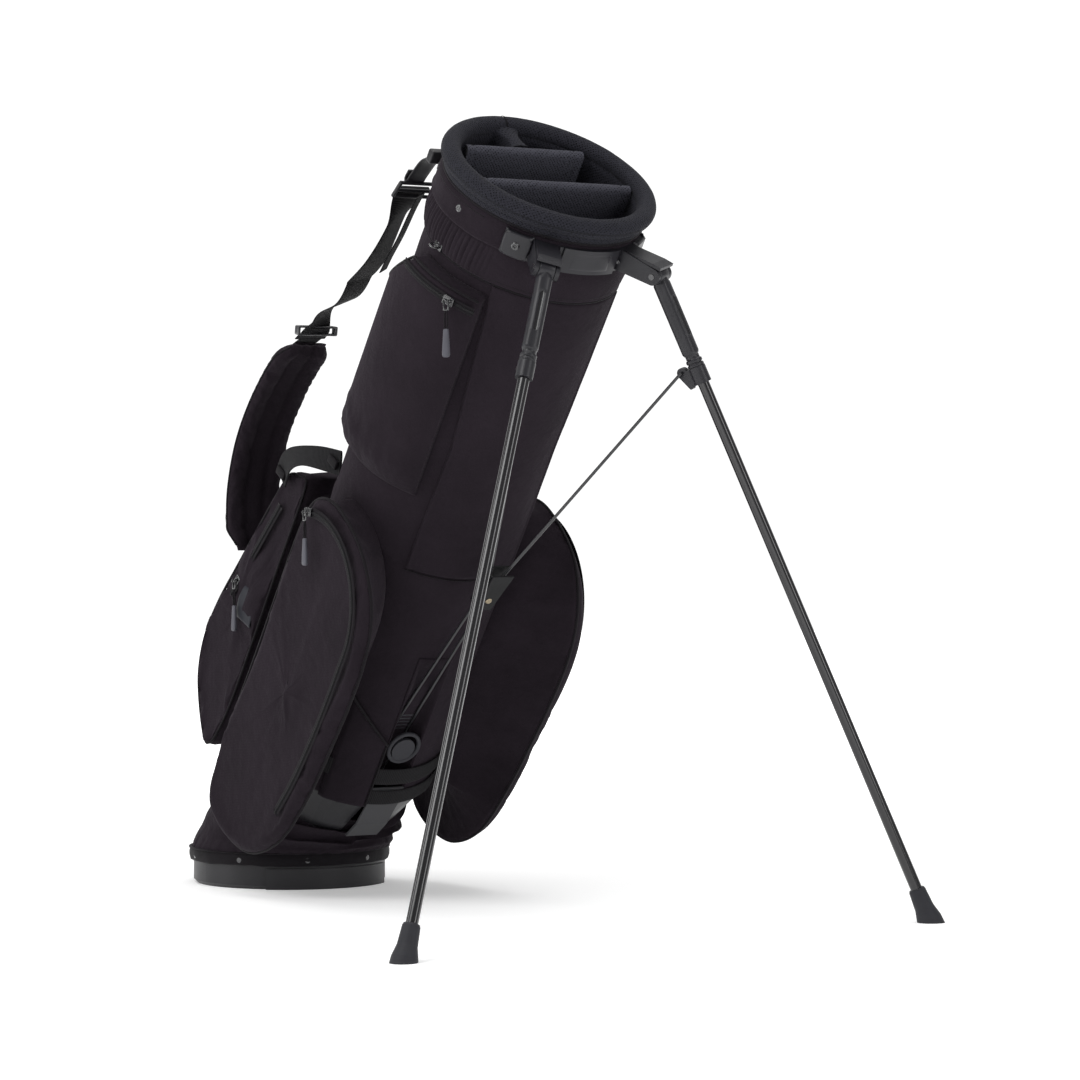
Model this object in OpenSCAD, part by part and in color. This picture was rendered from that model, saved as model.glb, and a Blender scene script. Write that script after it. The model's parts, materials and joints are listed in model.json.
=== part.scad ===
// Golf stand bag, standing open on its two legs.
// Millimetres, +Z up, +Y the way the bag leans, origin under the middle of the base on the floor.
// The bag's own parts are drawn upright about the Z axis and then leaned by on_bag().

/* [Bag] */
// Lean of the bag's axis from upright when the legs are open, degrees
lean = 34.1; // [33:0.1:35]
// Outer radius of the fabric-covered body
body_r = 100; // [99:0.5:101]
// Height of the rim cuff's middle along the bag's axis
rim_t = 883; // [876:1:886]
// Radius of the padded rim cuff's section
cuff_r = 10; // [9:0.5:11]
// Height of the lower end of the stiff tube along the bag's axis
tube_t = 183; // [180:1:186]

/* [Base] */
// Outer radius of the base cup
base_r = 104; // [103:0.5:105]
// Height of the base cup's rim above the floor
base_h = 37; // [35:1:38]
// Where the bag's axis meets the floor, forward of the base's middle
bag_y = 10; // [9:0.5:11]

/* [Legs] */
// Sideways distance of each leg's pivot from the middle
pivot_x = 65.5; // [64:0.5:67]
// Forward distance of each leg's pivot from the bag's axis
pivot_v = 131; // [129:0.5:133]
// Height of each leg's pivot along the bag's axis
pivot_t = 853; // [850:1:856]
// Sideways distance of each foot from the middle, on the floor
foot_x = 304; // [295:1:310]
// Forward distance of each foot from the base, on the floor
foot_y = 723; // [715:1:730]
// Radius of the leg tube
leg_r = 5.8; // [5.5:0.1:6]

/* [Actuator] */
// Radius of the actuator's wires
wire_r = 1.6; // [1.4:0.1:1.8]
// Height along the bag's axis of the upper wires' lower ends, in the yoke
yoke_t = 505; // [502:1:508]

/* [Pockets] */
// Half width of the ball pocket
ball_half_w = 80; // [76:1:82]
// Distance of the side pockets' outer faces from the middle
side_x = 138; // [134:1:140]
// Radius of the side pockets' upper front corner, which the zip follows
side_zip_r = 104; // [102:1:106]

/* [Hidden] */
$fn = 64;

fabric = [0.07, 0.06, 0.07];
mesh_grey = [0.15, 0.15, 0.18];
plastic = [0.12, 0.12, 0.13];
gloss = [0.03, 0.03, 0.04];
rubber = [0.2, 0.2, 0.22];
steel = [0.5, 0.5, 0.52];
brass = [0.6, 0.5, 0.3];
webbing = [0.2, 0.2, 0.21];

eps = 0.02;
skin = 2;                               // fabric cover on the tube
shell_r = body_r - skin;                // stiff tube, outside
shell_in = shell_r - 3;                 // stiff tube, inside
slot_w = 40;                            // front slot for the wires
slot_top = 368;                         // its upper end
collar_bottom = 838;
cuff_ring_r = 101;
collar_top = 866;
sheet = 1.5;

// Base hinge across the cup and the cross bar of the lower wire, as [y, z] at rest
hinge = [-10, 22];
bar = [75, 44];
hinge_pin_r = 4;
running = 0.05;                         // radial clearance of a running fit

// Changes between the upright bag's own frame and the world
function to_world(p) = [
    p.x,
    bag_y + p.y * cos(lean) + p.z * sin(lean),
    -p.y * sin(lean) + p.z * cos(lean),
];
function to_bag(p) =
    let (y = p.y - bag_y) [p.x, y * cos(lean) - p.z * sin(lean), y * sin(lean) + p.z * cos(lean)];
function unit(v) = v / norm(v);
function turn2(p, a) = [p[0] * cos(a) - p[1] * sin(a), p[0] * sin(a) + p[1] * cos(a)];
function turn_about(v, k, a) = v * cos(a) + cross(k, v) * sin(a) + k * (k * v) * (1 - cos(a));

// A point of the base as the bag sees it, with the bag leaning by what is left after tilt
function base_in_bag(p, tilt) =
    let (q = turn2([p[0] - hinge[0], p[1] - hinge[1]], -tilt),
         b = to_bag([0, hinge[0] + q[0], hinge[1] + q[1]])) [b.y, b.z];

// Legs: the open direction, the hinge axis that folds it flat, and the fold's angle
pivot = [pivot_x, pivot_v, pivot_t];
foot_point = to_bag([foot_x, foot_y, 0]);
leg_len = norm(foot_point - pivot);
leg_dir = unit(foot_point - pivot);
pin_axis = unit(cross(leg_dir, [0, 0, -1]));
inward = cross(pin_axis, leg_dir);
leg_fold = acos(-leg_dir.z);
eye = [0, 17, -98];                     // in the leg's frame: x along its pin, z up along the leg

function leg_point(p, a) =
    let (v = pin_axis * p.x + inward * p.y - leg_dir * p.z) pivot + turn_about(v, pin_axis, a);

// Linkage: the wire's two ends with the legs open and with them folded
wire_x = 8;
yoke_open = [wire_x, 143, yoke_t];
eye_open = leg_point(eye, 0);
eye_shut = leg_point(eye, leg_fold);
wire_len = norm(eye_open - yoke_open);
bar_open = base_in_bag(bar, 0);
bar_shut = base_in_bag(bar, lean);
lower_len = norm([yoke_open.y, yoke_open.z] - bar_open);
reach_shut = sqrt(pow(wire_len, 2) - pow(eye_shut.x - wire_x, 2));
link = [eye_shut.y, eye_shut.z] - bar_shut;
link_a = (pow(lower_len, 2) - pow(reach_shut, 2) + link * link) / (2 * norm(link));
link_h = sqrt(pow(lower_len, 2) - pow(link_a, 2));
link_u = link / norm(link);
yoke_shut_2 = bar_shut + link_u * link_a + [link_u[1], -link_u[0]] * link_h;
yoke_shut = [wire_x, yoke_shut_2[0], yoke_shut_2[1]];

// Upper wire: its direction, and the eye's pin, square to the wire in both positions
wire_open = unit(yoke_open - eye_open);
wire_shut = turn_about(unit(yoke_shut - eye_shut), pin_axis, -leg_fold);
eye_axis = unit(cross(wire_open, wire_shut));
hook_out = 5.4;                         // the wire's run lies this far beside the eye
lower_x = 13.5;                         // half the spread of the lower wire at its cross bar
lower_top_x = 5;                        // and where it enters the yoke
wire_slope = (yoke_open.y - bar_open[0]) / (yoke_open.z - bar_open[1]);
wire_gap = 4;                           // room behind the lower wire

// Places [v, t] along the shoulder strap, in the bag's side plane
strap_path = [[-128.7, 789.3], [-133.6, 791], [-141, 752], [-154, 692], [-182, 638], [-204.8, 590], [-221, 556]];
pad_path = [[-225.2, 546.8], [-243, 505], [-254, 450], [-254, 400], [-241, 352], [-219, 316], [-203, 298]];
strap_x = 56;
pad_w = 62;
pad_t = 16;
strap_w = 38;

corner = [40, 402];                     // centre of the side pockets' upper corner, [v, t]
side_edge = 16;                         // rounding of the side pockets' outer edge
side_arc = [-34, 88];                   // the side zip, degrees forward of straight up the bag
valuables_t = [545, 785];
valuables_a = [47, 124];                // its span round the bag, degrees from the front
valuables_r = 120;
valuables_zip_end = 98;
valuables_zip_t = 772;
upper_zip_t = 803;
zip_w = 4;
zip_lift = 1.4;
ball_zip = [[-172, 262], [-138, 400]];  // ends of the ball pocket's zip, [v, t]
slider_a = -28;                         // side sliders at rest, on the arc
valuables_slider_a = 62;                // the other sliders at rest, degrees from the front
upper_slider_a = 87;
ball_slider_at = 22;                    // the ball slider at rest, from the zip's lower end

module on_bag() {
    translate([0, bag_y, 0]) rotate([-lean, 0, 0]) children();
}

// The near side is +X. The far side is its mirror image.
module far_side() {
    mirror([1, 0, 0]) children();
}

// Turns a sector's start from +X to so many degrees from the bag's front, towards +X
module at_angle(a) {
    rotate([0, 0, 90 - a]) children();
}

module ring(r_in, r_out, t0, t1) {
    translate([0, 0, t0]) difference() {
        cylinder(r = r_out, h = t1 - t0, $fn = 128);
        translate([0, 0, -1]) cylinder(r = r_in, h = t1 - t0 + 2, $fn = 128);
    }
}

// A curved panel round the bag, from a0 to a1 degrees from the front
module panel(r_in, r_out, t0, t1, a0, a1) {
    at_angle(a1) rotate_extrude(angle = a1 - a0, $fn = 128)
        translate([r_in, t0]) square([r_out - r_in, t1 - t0]);
}

// A round bar between two points, with ball ends
module rod(a, b, r, ends = true) {
    d = b - a;
    turn = acos(d.z / norm(d));
    axis = (abs(d.x) + abs(d.y) < eps) ? [1, 0, 0] : [-d.y, d.x, 0];
    translate(a) rotate(a = turn, v = axis) cylinder(r = r, h = norm(d), $fn = 24);
    if (ends) {
        translate(a) sphere(r = r, $fn = 24);
        translate(b) sphere(r = r, $fn = 24);
    }
}

// A band of even thickness along [v, t] points, standing across the bag from x - w/2 to x + w/2
module band(path, x, w, thick) {
    translate([x - w / 2, 0, 0]) rotate([90, 0, 90]) linear_extrude(w) intersection() {
        for (i = [0 : len(path) - 2]) hull() {
            translate(path[i]) circle(d = thick, $fn = 16);
            translate(path[i + 1]) circle(d = thick, $fn = 16);
        }
        translate([-400, 0]) square([800, 1000]);
    }
}

// ---- base ----

module base_cup() {
    wall = 3;
    ear_x = 49;
    ear_t = 6;
    post_x = 19;
    color(plastic) difference() {
        union() {
            difference() {
                union() {
                    cylinder(r1 = base_r - 4, r2 = base_r, h = 4, $fn = 128);
                    translate([0, 0, 4]) cylinder(r = base_r, h = base_h - 4, $fn = 128);
                }
                translate([0, 0, 4]) cylinder(r = base_r - wall, h = base_h, $fn = 128);
            }
            for (s = [-1, 1]) {
                translate([s * (ear_x + ear_t / 2), hinge[0], 0]) {
                    translate([-ear_t / 2, -11, 2]) cube([ear_t, 22, hinge[1] - 2]);
                    translate([0, 0, hinge[1]]) rotate([0, 90, 0])
                        cylinder(r = 11, h = ear_t, center = true);
                }
                translate([s * (post_x + 2.5), bar[0], 0]) {
                    translate([-2.5, -7, 2]) cube([5, 14, bar[1] - 2]);
                    translate([0, 0, bar[1]]) rotate([0, 90, 0])
                        cylinder(r = 7, h = 5, center = true);
                }
            }
        }
        translate([0, hinge[0], hinge[1]]) rotate([0, 90, 0])
            cylinder(r = hinge_pin_r, h = 140, center = true);
        translate([0, bar[0], bar[1]]) rotate([0, 90, 0])
            cylinder(r = wire_r + running, h = 80, center = true);
        for (a = rivet_angles) at_angle(a) translate([base_r - 6, 0, 31]) rotate([0, 90, 0])
            cylinder(r = 1.5, h = 10, $fn = 24);
    }
}

foot_half_a = 44;
rivet_angles = [20, 60, 100, 140, 180, -20, -60, -100, -140];

module foot_plate() {
    color(plastic) {
        panel(base_r, base_r + 2.6, 0, 22, -foot_half_a, foot_half_a);
        panel(base_r - 1.6, base_r, 0, 1.5, -foot_half_a, foot_half_a);
    }
}

module base_hinge_pin() {
    color(steel) translate([0, hinge[0], hinge[1]]) rotate([0, 90, 0])
        cylinder(r = hinge_pin_r, h = 114, center = true);
}

module hem_band() {
    color(fabric) difference() {
        ring(base_r, base_r + 3, 25, base_h);
        for (a = rivet_angles) at_angle(a) translate([base_r - 6, 0, 31]) rotate([0, 90, 0])
            cylinder(r = 1.5, h = 16, $fn = 24);
    }
}

module hem_rivets() {
    color(plastic) for (a = rivet_angles) at_angle(a) translate([0, 0, 31]) rotate([0, 90, 0]) {
        translate([0, 0, base_r - 4]) cylinder(r = 1.5, h = 7.5, $fn = 24);
        translate([0, 0, base_r + 3]) cylinder(r1 = 4, r2 = 2.6, h = 1.8, $fn = 32);
    }
}

// Closed fabric form between the hem and the boot
module skirt() {
    color(fabric) difference() {
        skirt_form(0, 0.5);
        skirt_form(2.5, -0.5);
    }
}

module skirt_form(inset, over) {
    hull() {
        translate([0, 0, base_h + 0.3 - (inset > 0 ? 1 : 0)])
            cylinder(r = base_r + 2 - inset, h = 1, $fn = 48);
        on_bag() translate([0, -6, 150 + (inset > 0 ? 1 : 0)])
            cylinder(r = 95.5 - inset, h = 1, $fn = 48);
    }
}

// ---- body ----

boot_low = 125;
boot_low_r = 84;
boot_low_v = -11;

module boot_form(inset) {
    hull() {
        translate([0, boot_low_v, boot_low - (inset > 0 ? 1 : 0)])
            cylinder(r = boot_low_r - inset, h = 1, $fn = 48);
        translate([0, 0, tube_t - 1 + (inset > 0 ? 1.5 : 0)])
            cylinder(r = shell_r - inset, h = 1, $fn = 48);
    }
}

module lower_boot() {
    h = base_in_bag(hinge, 0);
    arm_x = 42;
    arm_t = 6;
    color(plastic) on_bag() difference() {
        union() {
            difference() {
                boot_form(0);
                boot_form(4);
                translate([-slot_w / 2, 20, boot_low - 10]) cube([slot_w, 100, 80]);
            }
            for (s = [-1, 1]) translate([s * (arm_x + arm_t / 2), h[0], 0]) {
                translate([-arm_t / 2, -9, h[1]]) cube([arm_t, 18, tube_t - h[1]]);
                translate([0, 0, h[1]]) rotate([0, 90, 0]) cylinder(r = 9, h = arm_t, center = true);
                translate([-arm_t / 2, -84 - h[0], tube_t - 8]) cube([arm_t, 168, 8]);
            }
        }
        translate([0, h[0], h[1]]) rotate([0, 90, 0])
            cylinder(r = hinge_pin_r + running, h = 200, center = true);
    }
}

module wire_slot() {
    translate([-slot_w / 2, 30, tube_t - 10]) cube([slot_w, 100, slot_top - tube_t + 10]);
}

module tube_shell() {
    color(plastic) on_bag() difference() {
        ring(shell_in, shell_r, tube_t, collar_top);
        wire_slot();
    }
}

module body_cover() {
    color(fabric) on_bag() difference() {
        ring(shell_r, body_r, tube_t, collar_bottom);
        wire_slot();
    }
}

module tube_floor() {
    color(plastic) on_bag() difference() {
        translate([0, 0, tube_t + 2]) cylinder(r = shell_in - 0.2, h = 4, $fn = 128);
        translate([-slot_w / 2 - 2, 50, tube_t]) cube([slot_w + 4, 60, 10]);
        for (a = stay_angles) at_angle(a) translate([stay_at, 0, tube_t]) cylinder(r = 3.2, h = 10);
    }
}

// Height of a line that runs with the open lower wire, this far behind it
function behind_wire(t, gap) = bar_open[0] + (t - bar_open[1]) * wire_slope - gap;

// Trough behind the lower wire, following its line with the legs open
module wire_guard() {
    low = tube_t + 7;
    deep = body_r - 6;
    knee = bar_open[1] + (deep + wire_gap - bar_open[0]) / wire_slope;
    floor_line = [[behind_wire(low, wire_gap), low], [deep, knee], [deep, slot_top]];
    color(fabric) on_bag() difference() {
        translate([-slot_w / 2, 0, 0]) rotate([90, 0, 90]) linear_extrude(slot_w) polygon([
            floor_line[0] - [2, 0], floor_line[1] - [2, 0], floor_line[2] - [2, 0],
            [body_r - 4, slot_top], [body_r - 4, low],
        ]);
        translate([2 - slot_w / 2, 0, 0]) rotate([90, 0, 90]) linear_extrude(slot_w - 4) polygon([
            floor_line[0] - [wire_slope, 1], floor_line[1], floor_line[2] - [0, 2],
            [body_r + 20, slot_top - 2], [body_r + 20, low - 1],
        ]);
    }
}

stay_angles = [180, 105, -105];
stay_at = shell_in - 2.6;

module stay_rods() {
    color(gloss) on_bag() for (a = stay_angles) at_angle(a)
        translate([stay_at, 0, tube_t + 1]) cylinder(r = 2.5, h = collar_top - tube_t - 4);
}

module collar_ring() {
    color(fabric) on_bag() ring(shell_r, body_r + 3.5, collar_bottom, collar_top);
}

// Padded roll round the mouth, on a lining that comes down to the stiff tube
module cuff() {
    color(mesh_grey) on_bag() {
        translate([0, 0, rim_t]) rotate_extrude($fn = 128)
            translate([cuff_ring_r, 0]) circle(r = cuff_r, $fn = 48);
        rotate_extrude($fn = 128) polygon([
            [shell_in + 0.5, collar_top], [body_r + 3, collar_top],
            [cuff_ring_r + cuff_r * 0.55, rim_t - cuff_r * 0.7],
            [cuff_ring_r - cuff_r * 0.55, rim_t - cuff_r * 0.7],
        ]);
    }
}

cuff_in = cuff_ring_r - cuff_r;
bar_v = [14, -52];                      // the two cross dividers
bar_low = 805;
bar_top = 885;
bar_thick = 13;

// A padded cross bar with a round top, from one side of the mouth to the other
module cross_bar(v) {
    half = sqrt(pow(cuff_in, 2) - pow(abs(v) + bar_thick / 2, 2)) - 0.6;
    on_bag() {
        translate([-half, v - bar_thick / 2, bar_low])
            cube([2 * half, bar_thick, bar_top - bar_thick / 2 - bar_low]);
        translate([-half, v, bar_top - bar_thick / 2]) rotate([0, 90, 0])
            cylinder(d = bar_thick, h = 2 * half);
    }
}

module divider_front() {
    color(mesh_grey) cross_bar(bar_v[0]);
}

module divider_rear() {
    color(mesh_grey) cross_bar(bar_v[1]);
}

module divider_centre() {
    thick = 10;
    back = -cuff_in + 1.5;
    front = bar_v[1] - bar_thick / 2 - 0.3;
    color(mesh_grey) on_bag() {
        translate([-thick / 2, back, bar_low])
            cube([thick, front - back, bar_top - thick / 2 - bar_low]);
        translate([0, back, bar_top - thick / 2]) rotate([-90, 0, 0])
            cylinder(d = thick, h = front - back);
    }
}

// The sheets that keep the clubs apart down to the tube's floor
module divider_sheets() {
    low = tube_t + 8;
    half = [for (v = bar_v) sqrt(pow(shell_in, 2) - pow(abs(v) + sheet, 2)) - 4];
    color(fabric) on_bag() {
        for (i = [0, 1]) translate([-half[i], bar_v[i] - sheet / 2, low])
            cube([2 * half[i], sheet, bar_low - low]);
        translate([-sheet / 2, -shell_in + 6, low])
            cube([sheet, shell_in - 6 + bar_v[1] - sheet, bar_low - low]);
    }
}

// ---- leg bracket ----

collar_r = body_r + 3.5;
bracket_t = [838, 862];
ear_a = 49;                             // the bracket's ends, degrees either side of the front
knuckle_w = 16;
cheek_t = 4;
leg_pin_r = 3;
fork_spread = 6;                        // its cheeks' roots, degrees either side of the pivot

module bracket_fork() {
    a = atan2(pivot.x, pivot.y);
    for (s = [-1, 1]) hull() {
        translate(pivot + pin_axis * s * (knuckle_w / 2 + 0.3 + cheek_t / 2)) on_pin()
            cylinder(r = 8.5, h = cheek_t, center = true, $fn = 32);
        at_angle(a - s * fork_spread) translate([collar_r + 2, -cheek_t / 2, bracket_t[0] + 2])
            cube([2, cheek_t, bracket_t[1] - bracket_t[0] - 2]);
    }
    hull() {
        translate(pivot + [0, 0, 11.5]) on_pin()
            translate([-1.5, -6, -10.3 - cheek_t / 2]) cube([3, 10, 2 * 10.3 + cheek_t]);
        at_angle(a) translate([collar_r + 2, -11, bracket_t[1] - 4]) cube([2, 22, 4]);
    }
}

// Lays a cylinder's axis along the leg's pin
module on_pin() {
    rotate([0, 0, atan2(pin_axis.y, pin_axis.x)]) rotate([0, 90, 0]) children();
}

module leg_bracket() {
    color(plastic) on_bag() difference() {
        union() {
            panel(collar_r, collar_r + 4, bracket_t[0], bracket_t[1], -ear_a, ear_a);
            panel(collar_r + 4, collar_r + 6.5, bracket_t[0] - 1, bracket_t[1] + 1, -17, 17);
            bracket_fork();
            far_side() bracket_fork();
        }
        for (s = [1, -1]) translate([s * pivot.x, pivot.y, pivot.z])
            rotate([0, 0, atan2(pin_axis.y, s * pin_axis.x)]) rotate([0, 90, 0])
                cylinder(r = leg_pin_r, h = 40, center = true);
    }
}

// Large rivets on the ears and small ones beside the centre plate, as [angle, radius]
bracket_rivet_list = [[-41.5, 4.5], [-18.25, 1.3], [18.25, 1.3], [41.5, 4.5]];

module bracket_rivets() {
    color(gloss) on_bag() for (q = bracket_rivet_list) at_angle(q[0])
        translate([collar_r + 4, 0, (bracket_t[0] + bracket_t[1]) / 2]) rotate([0, 90, 0])
            difference() {
                cylinder(r1 = q[1], r2 = q[1] * 0.8, h = 2, $fn = 32);
                translate([0, 0, 1]) cylinder(r = q[1] * 0.35, h = 2, $fn = 32);
            }
}

module leg_pivot_pins() {
    color(steel) on_bag() for (s = [1, -1]) translate([s * pivot.x, pivot.y, pivot.z])
        rotate([0, 0, atan2(pin_axis.y, s * pin_axis.x)]) rotate([0, 90, 0])
            cylinder(r = leg_pin_r, h = knuckle_w + 2 * cheek_t + 2, center = true);
}

// ---- lower front ----

gland_t = 256;

module wire_gland() {
    ring_r = 17.5;
    color(rubber) on_bag() {
        translate([0, body_r - 1.6, gland_t]) rotate([90, 0, 0]) {
            rotate_extrude() translate([ring_r, 0]) circle(r = 2.2, $fn = 24);
            translate([0, -2.5, -1]) cylinder(r = 13.3, h = 3);
            for (s = [-1, 1]) translate([s * 9 - 2, -15.5, -1]) cube([4, 6, 2]);
        }
        for (t = [gland_t + 12 : 5 : gland_t + 34]) translate([-7.5, behind_wire(t, 2.2), t])
            rotate([0, 90, 0]) cylinder(r = 1.6, h = 15, $fn = 24);
    }
}

module front_webbing() {
    color(webbing) on_bag() {
        panel(body_r + 0.1, body_r + 2.2, 210, 230, -46, 46);
        panel(body_r + 0.1, body_r + 1.8, tube_t, 202, -46, 40);
    }
}

// Moulded strip that hangs from under the webbing, in front of the skirt's upper edge
module tongue() {
    outer = [[82.8, 128.2], [92.4, 150.6], [98.1, 183], [98.1, 203]];
    inner = [[96.3, 203], [96.3, 184], [90.3, 151.5], [80.6, 129]];
    color(webbing) on_bag() translate([-19, 0, 0]) rotate([90, 0, 90])
        linear_extrude(38) polygon(concat(outer, inner));
}

// ---- pockets ----

ball_side = [[-113, 436], [-140, 428], [-164, 330], [-184, 245], [-190, 180], [-172, 130],
             [-134, 98], [-128, 120], [-113, 190]];

module ball_pocket() {
    r = 12;
    color(fabric) on_bag() hull() for (p = ball_side, s = [-1, 1])
        translate([s * (ball_half_w - r), p[0], p[1]]) sphere(r = r, $fn = 20);
}

module pocket_patch() {
    color(rubber) on_bag() translate([ball_half_w + 0.1, -139, 272]) rotate([10, 0, 0])
        translate([0, -17, -20]) cube([1.6, 34, 40]);
}

// The outer face's edge: a round upper corner, then down the front and back up the rear
side_corner_r = side_zip_r - 12;
side_edge_line = concat(
    [for (a = [-34 : 20.4 : 89]) corner + side_corner_r * [sin(a), cos(a)]],
    [[131, 330], [122, 235], [101, 162], [70, 126], [25, 108], [-5, 118], [-18, 165], [-14, 270]],
    [[-12, 380]]);

// Where the pocket's side wall meets the bag, for a point of its outer edge
function side_root(p) =
    let (v = p[0] * 0.5) [sqrt(pow(body_r - 4, 2) - v * v), v, max(p[1], tube_t + 14)];

module side_pocket() {
    root_r = 3;
    difference() {
        hull() {
            for (p = side_edge_line)
                translate([side_x - side_edge, p[0], p[1]]) sphere(r = side_edge, $fn = 16);
            for (p = side_edge_line) translate(side_root(p)) sphere(r = root_r, $fn = 8);
        }
        translate([0, 0, tube_t - 3]) cylinder(r = body_r + 0.3, h = 600, $fn = 128);
        boot_form(-0.4);
    }
}

module side_pocket_near() {
    color(fabric) on_bag() side_pocket();
}

module side_pocket_far() {
    color(fabric) on_bag() far_side() side_pocket();
}

module valuables_pocket() {
    low = valuables_t[0];
    high = valuables_t[1];
    color(fabric) on_bag() difference() {
        at_angle(valuables_a[1])
            rotate_extrude(angle = valuables_a[1] - valuables_a[0], $fn = 128) polygon([
                [body_r + 0.3, low], [body_r + 9, low + 6], [valuables_r - 3, low + 34],
                [valuables_r, high - 40], [valuables_r, high - 5], [valuables_r - 5, high],
                [body_r + 0.3, high],
            ]);
        translate([0, -8, high + 1]) rotate([39, 0, 0]) translate([0, -200, 0]) cube(200);
    }
}

module bottle_sleeve() {
    color(fabric) on_bag() difference() {
        panel(body_r + 2.4, body_r + 4.4, 180, 312, 13, 42);
        at_angle(13) translate([90, 0, 262]) rotate([52, 0, 0]) translate([0, -40, 0])
            cube([40, 160, 80]);
    }
}

// ---- zips ----

slide_gap = 0.4;
bail_h = 6.4;                           // height of the pull's pin over the pocket
bail_r = 0.9;
ball_zip_dir = unit(ball_zip[1] - ball_zip[0]);
ball_zip_len = norm(ball_zip[1] - ball_zip[0]);

module side_zip() {
    translate([side_x, corner[0], corner[1]]) rotate([0, 90, 0]) rotate([0, 0, 180 - side_arc[1]])
        rotate_extrude(angle = side_arc[1] - side_arc[0], $fn = 128)
            translate([side_corner_r - zip_w / 2, 0]) square([zip_w, zip_lift]);
}

module round_zip(r, t, a0, a1) {
    panel(r, r + zip_lift, t - zip_w / 2, t + zip_w / 2, a0, a1);
}

module zip_tracks() {
    color(gloss) on_bag() {
        side_zip();
        far_side() side_zip();
        round_zip(valuables_r, valuables_zip_t, valuables_a[0] + 2, valuables_zip_end);
        round_zip(body_r, upper_zip_t, 44, 92);
        at_ball_zip(0) translate([0, -zip_w / 2, 0]) cube([ball_zip_len, zip_w, zip_lift]);
    }
}

// Frames on the zips: x along the track, z out of the pocket
module at_side_zip(a) {
    translate([side_x, corner[0], corner[1]]) rotate([-a, 0, 0]) translate([0, 0, side_corner_r])
        rotate([90, 0, 90]) children();
}

module at_round_zip(r, t, a) {
    at_angle(a) translate([r, 0, t]) rotate([90, 0, 90]) children();
}

module at_ball_zip(d) {
    turn = atan2(ball_zip_dir[1], ball_zip_dir[0]);
    translate([ball_half_w, ball_zip[0][0], ball_zip[0][1]]) rotate([turn, 0, 0])
        translate([0, d, 0]) rotate([90, 0, 90]) children();
}

// A slider over its track, with a cross pin for the pull
module slider_body(pin_turn) {
    difference() {
        union() {
            translate([-6, -4, slide_gap]) cube([12, 8, 4 - slide_gap]);
            cylinder(r = 1.4, h = bail_h);
            translate([0, 0, bail_h]) rotate([0, 0, pin_turn]) rotate([0, 90, 0])
                cylinder(r = bail_r, h = 9.4, center = true);
        }
        translate([-10, -zip_w / 2 - slide_gap, -1])
            cube([20, zip_w + 2 * slide_gap, zip_lift + slide_gap + 1]);
    }
}

// A pull hanging straight down from the origin, on a pin along x
module pull() {
    arm_x = 2.2;
    arm_w = 1.8;
    difference() {
        union() {
            for (s = [-1, 1]) {
                translate([s * arm_x + (s - 1) / 2 * arm_w, 0, 0]) rotate([0, 90, 0])
                    cylinder(r = 2, h = arm_w);
                translate([s * arm_x + (s - 1) / 2 * arm_w, -0.9, -7]) cube([arm_w, 1.8, 6]);
            }
            translate([-arm_x - arm_w, -0.9, -8.6]) cube([2 * (arm_x + arm_w), 1.8, 1.8]);
            translate([0, 0, -28]) cylinder(r = 1.2, h = 20, $fn = 24);
            translate([-4, -2, -50]) cube([8, 4, 23]);
            translate([0, 2, -50]) rotate([90, 0, 0]) cylinder(r = 4, h = 4, $fn = 32);
        }
        rotate([0, 90, 0]) cylinder(r = bail_r + running, h = 20, center = true);
    }
}

// Puts a pull on a slider's pin: place is on the pocket, out the way off it, in the bag's frame
module hang(place, out) {
    out_w = to_world(out) - to_world([0, 0, 0]);
    translate(to_world(place + out * bail_h)) rotate([0, 0, atan2(out_w.y, out_w.x) + 90]) pull();
}

function side_zip_at(a) =
    [side_x, corner[0] + side_corner_r * sin(a), corner[1] + side_corner_r * cos(a)];
function round_at(r, t, a) = [r * sin(a), r * cos(a), t];
function ball_zip_at(d) = [
    ball_half_w,
    ball_zip[0][0] + ball_zip_dir[0] * d,
    ball_zip[0][1] + ball_zip_dir[1] * d,
];

// Turn of a slider's pin, from the track's direction to level with the floor
side_pin_turn = lean + slider_a;
ball_pin_turn = lean - atan2(ball_zip_dir[1], ball_zip_dir[0]);
valuables_out = round_at(1, 0, valuables_slider_a);
valuables_level = let (w = to_world(valuables_out) - to_world([0, 0, 0])) unit([-w.y, w.x, 0]);
valuables_level_bag = to_bag(valuables_level + [0, bag_y, 0]);
valuables_pin_turn = atan2(
    valuables_level_bag.z,
    valuables_level_bag * [-cos(valuables_slider_a), sin(valuables_slider_a), 0]);

module side_slider_near() {
    color(gloss) on_bag() at_side_zip(slider_a) slider_body(side_pin_turn);
}

module side_slider_far() {
    color(gloss) on_bag() far_side() at_side_zip(slider_a) slider_body(side_pin_turn);
}

module ball_slider() {
    color(gloss) on_bag() at_ball_zip(ball_slider_at) slider_body(ball_pin_turn);
}

module valuables_slider() {
    color(gloss) on_bag() at_round_zip(valuables_r, valuables_zip_t, valuables_slider_a)
        slider_body(valuables_pin_turn);
}

// This one has a fixed loop in place of a pull
module upper_slider() {
    color(gloss) on_bag() at_round_zip(body_r, upper_zip_t, upper_slider_a) {
        difference() {
            translate([-6, -4, slide_gap]) cube([12, 8, 4 - slide_gap]);
            translate([-10, -zip_w / 2 - slide_gap, -1])
                cube([20, zip_w + 2 * slide_gap, zip_lift + slide_gap + 1]);
        }
        translate([0, 0, 8]) rotate([90, 0, 0]) rotate_extrude() translate([4.6, 0])
            circle(r = 1.1, $fn = 24);
    }
}

module side_pull_near() {
    color(rubber) hang(side_zip_at(slider_a), [1, 0, 0]);
}

module side_pull_far() {
    color(rubber) far_side() hang(side_zip_at(slider_a), [1, 0, 0]);
}

module ball_pull() {
    color(rubber) hang(ball_zip_at(ball_slider_at), [1, 0, 0]);
}

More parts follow.
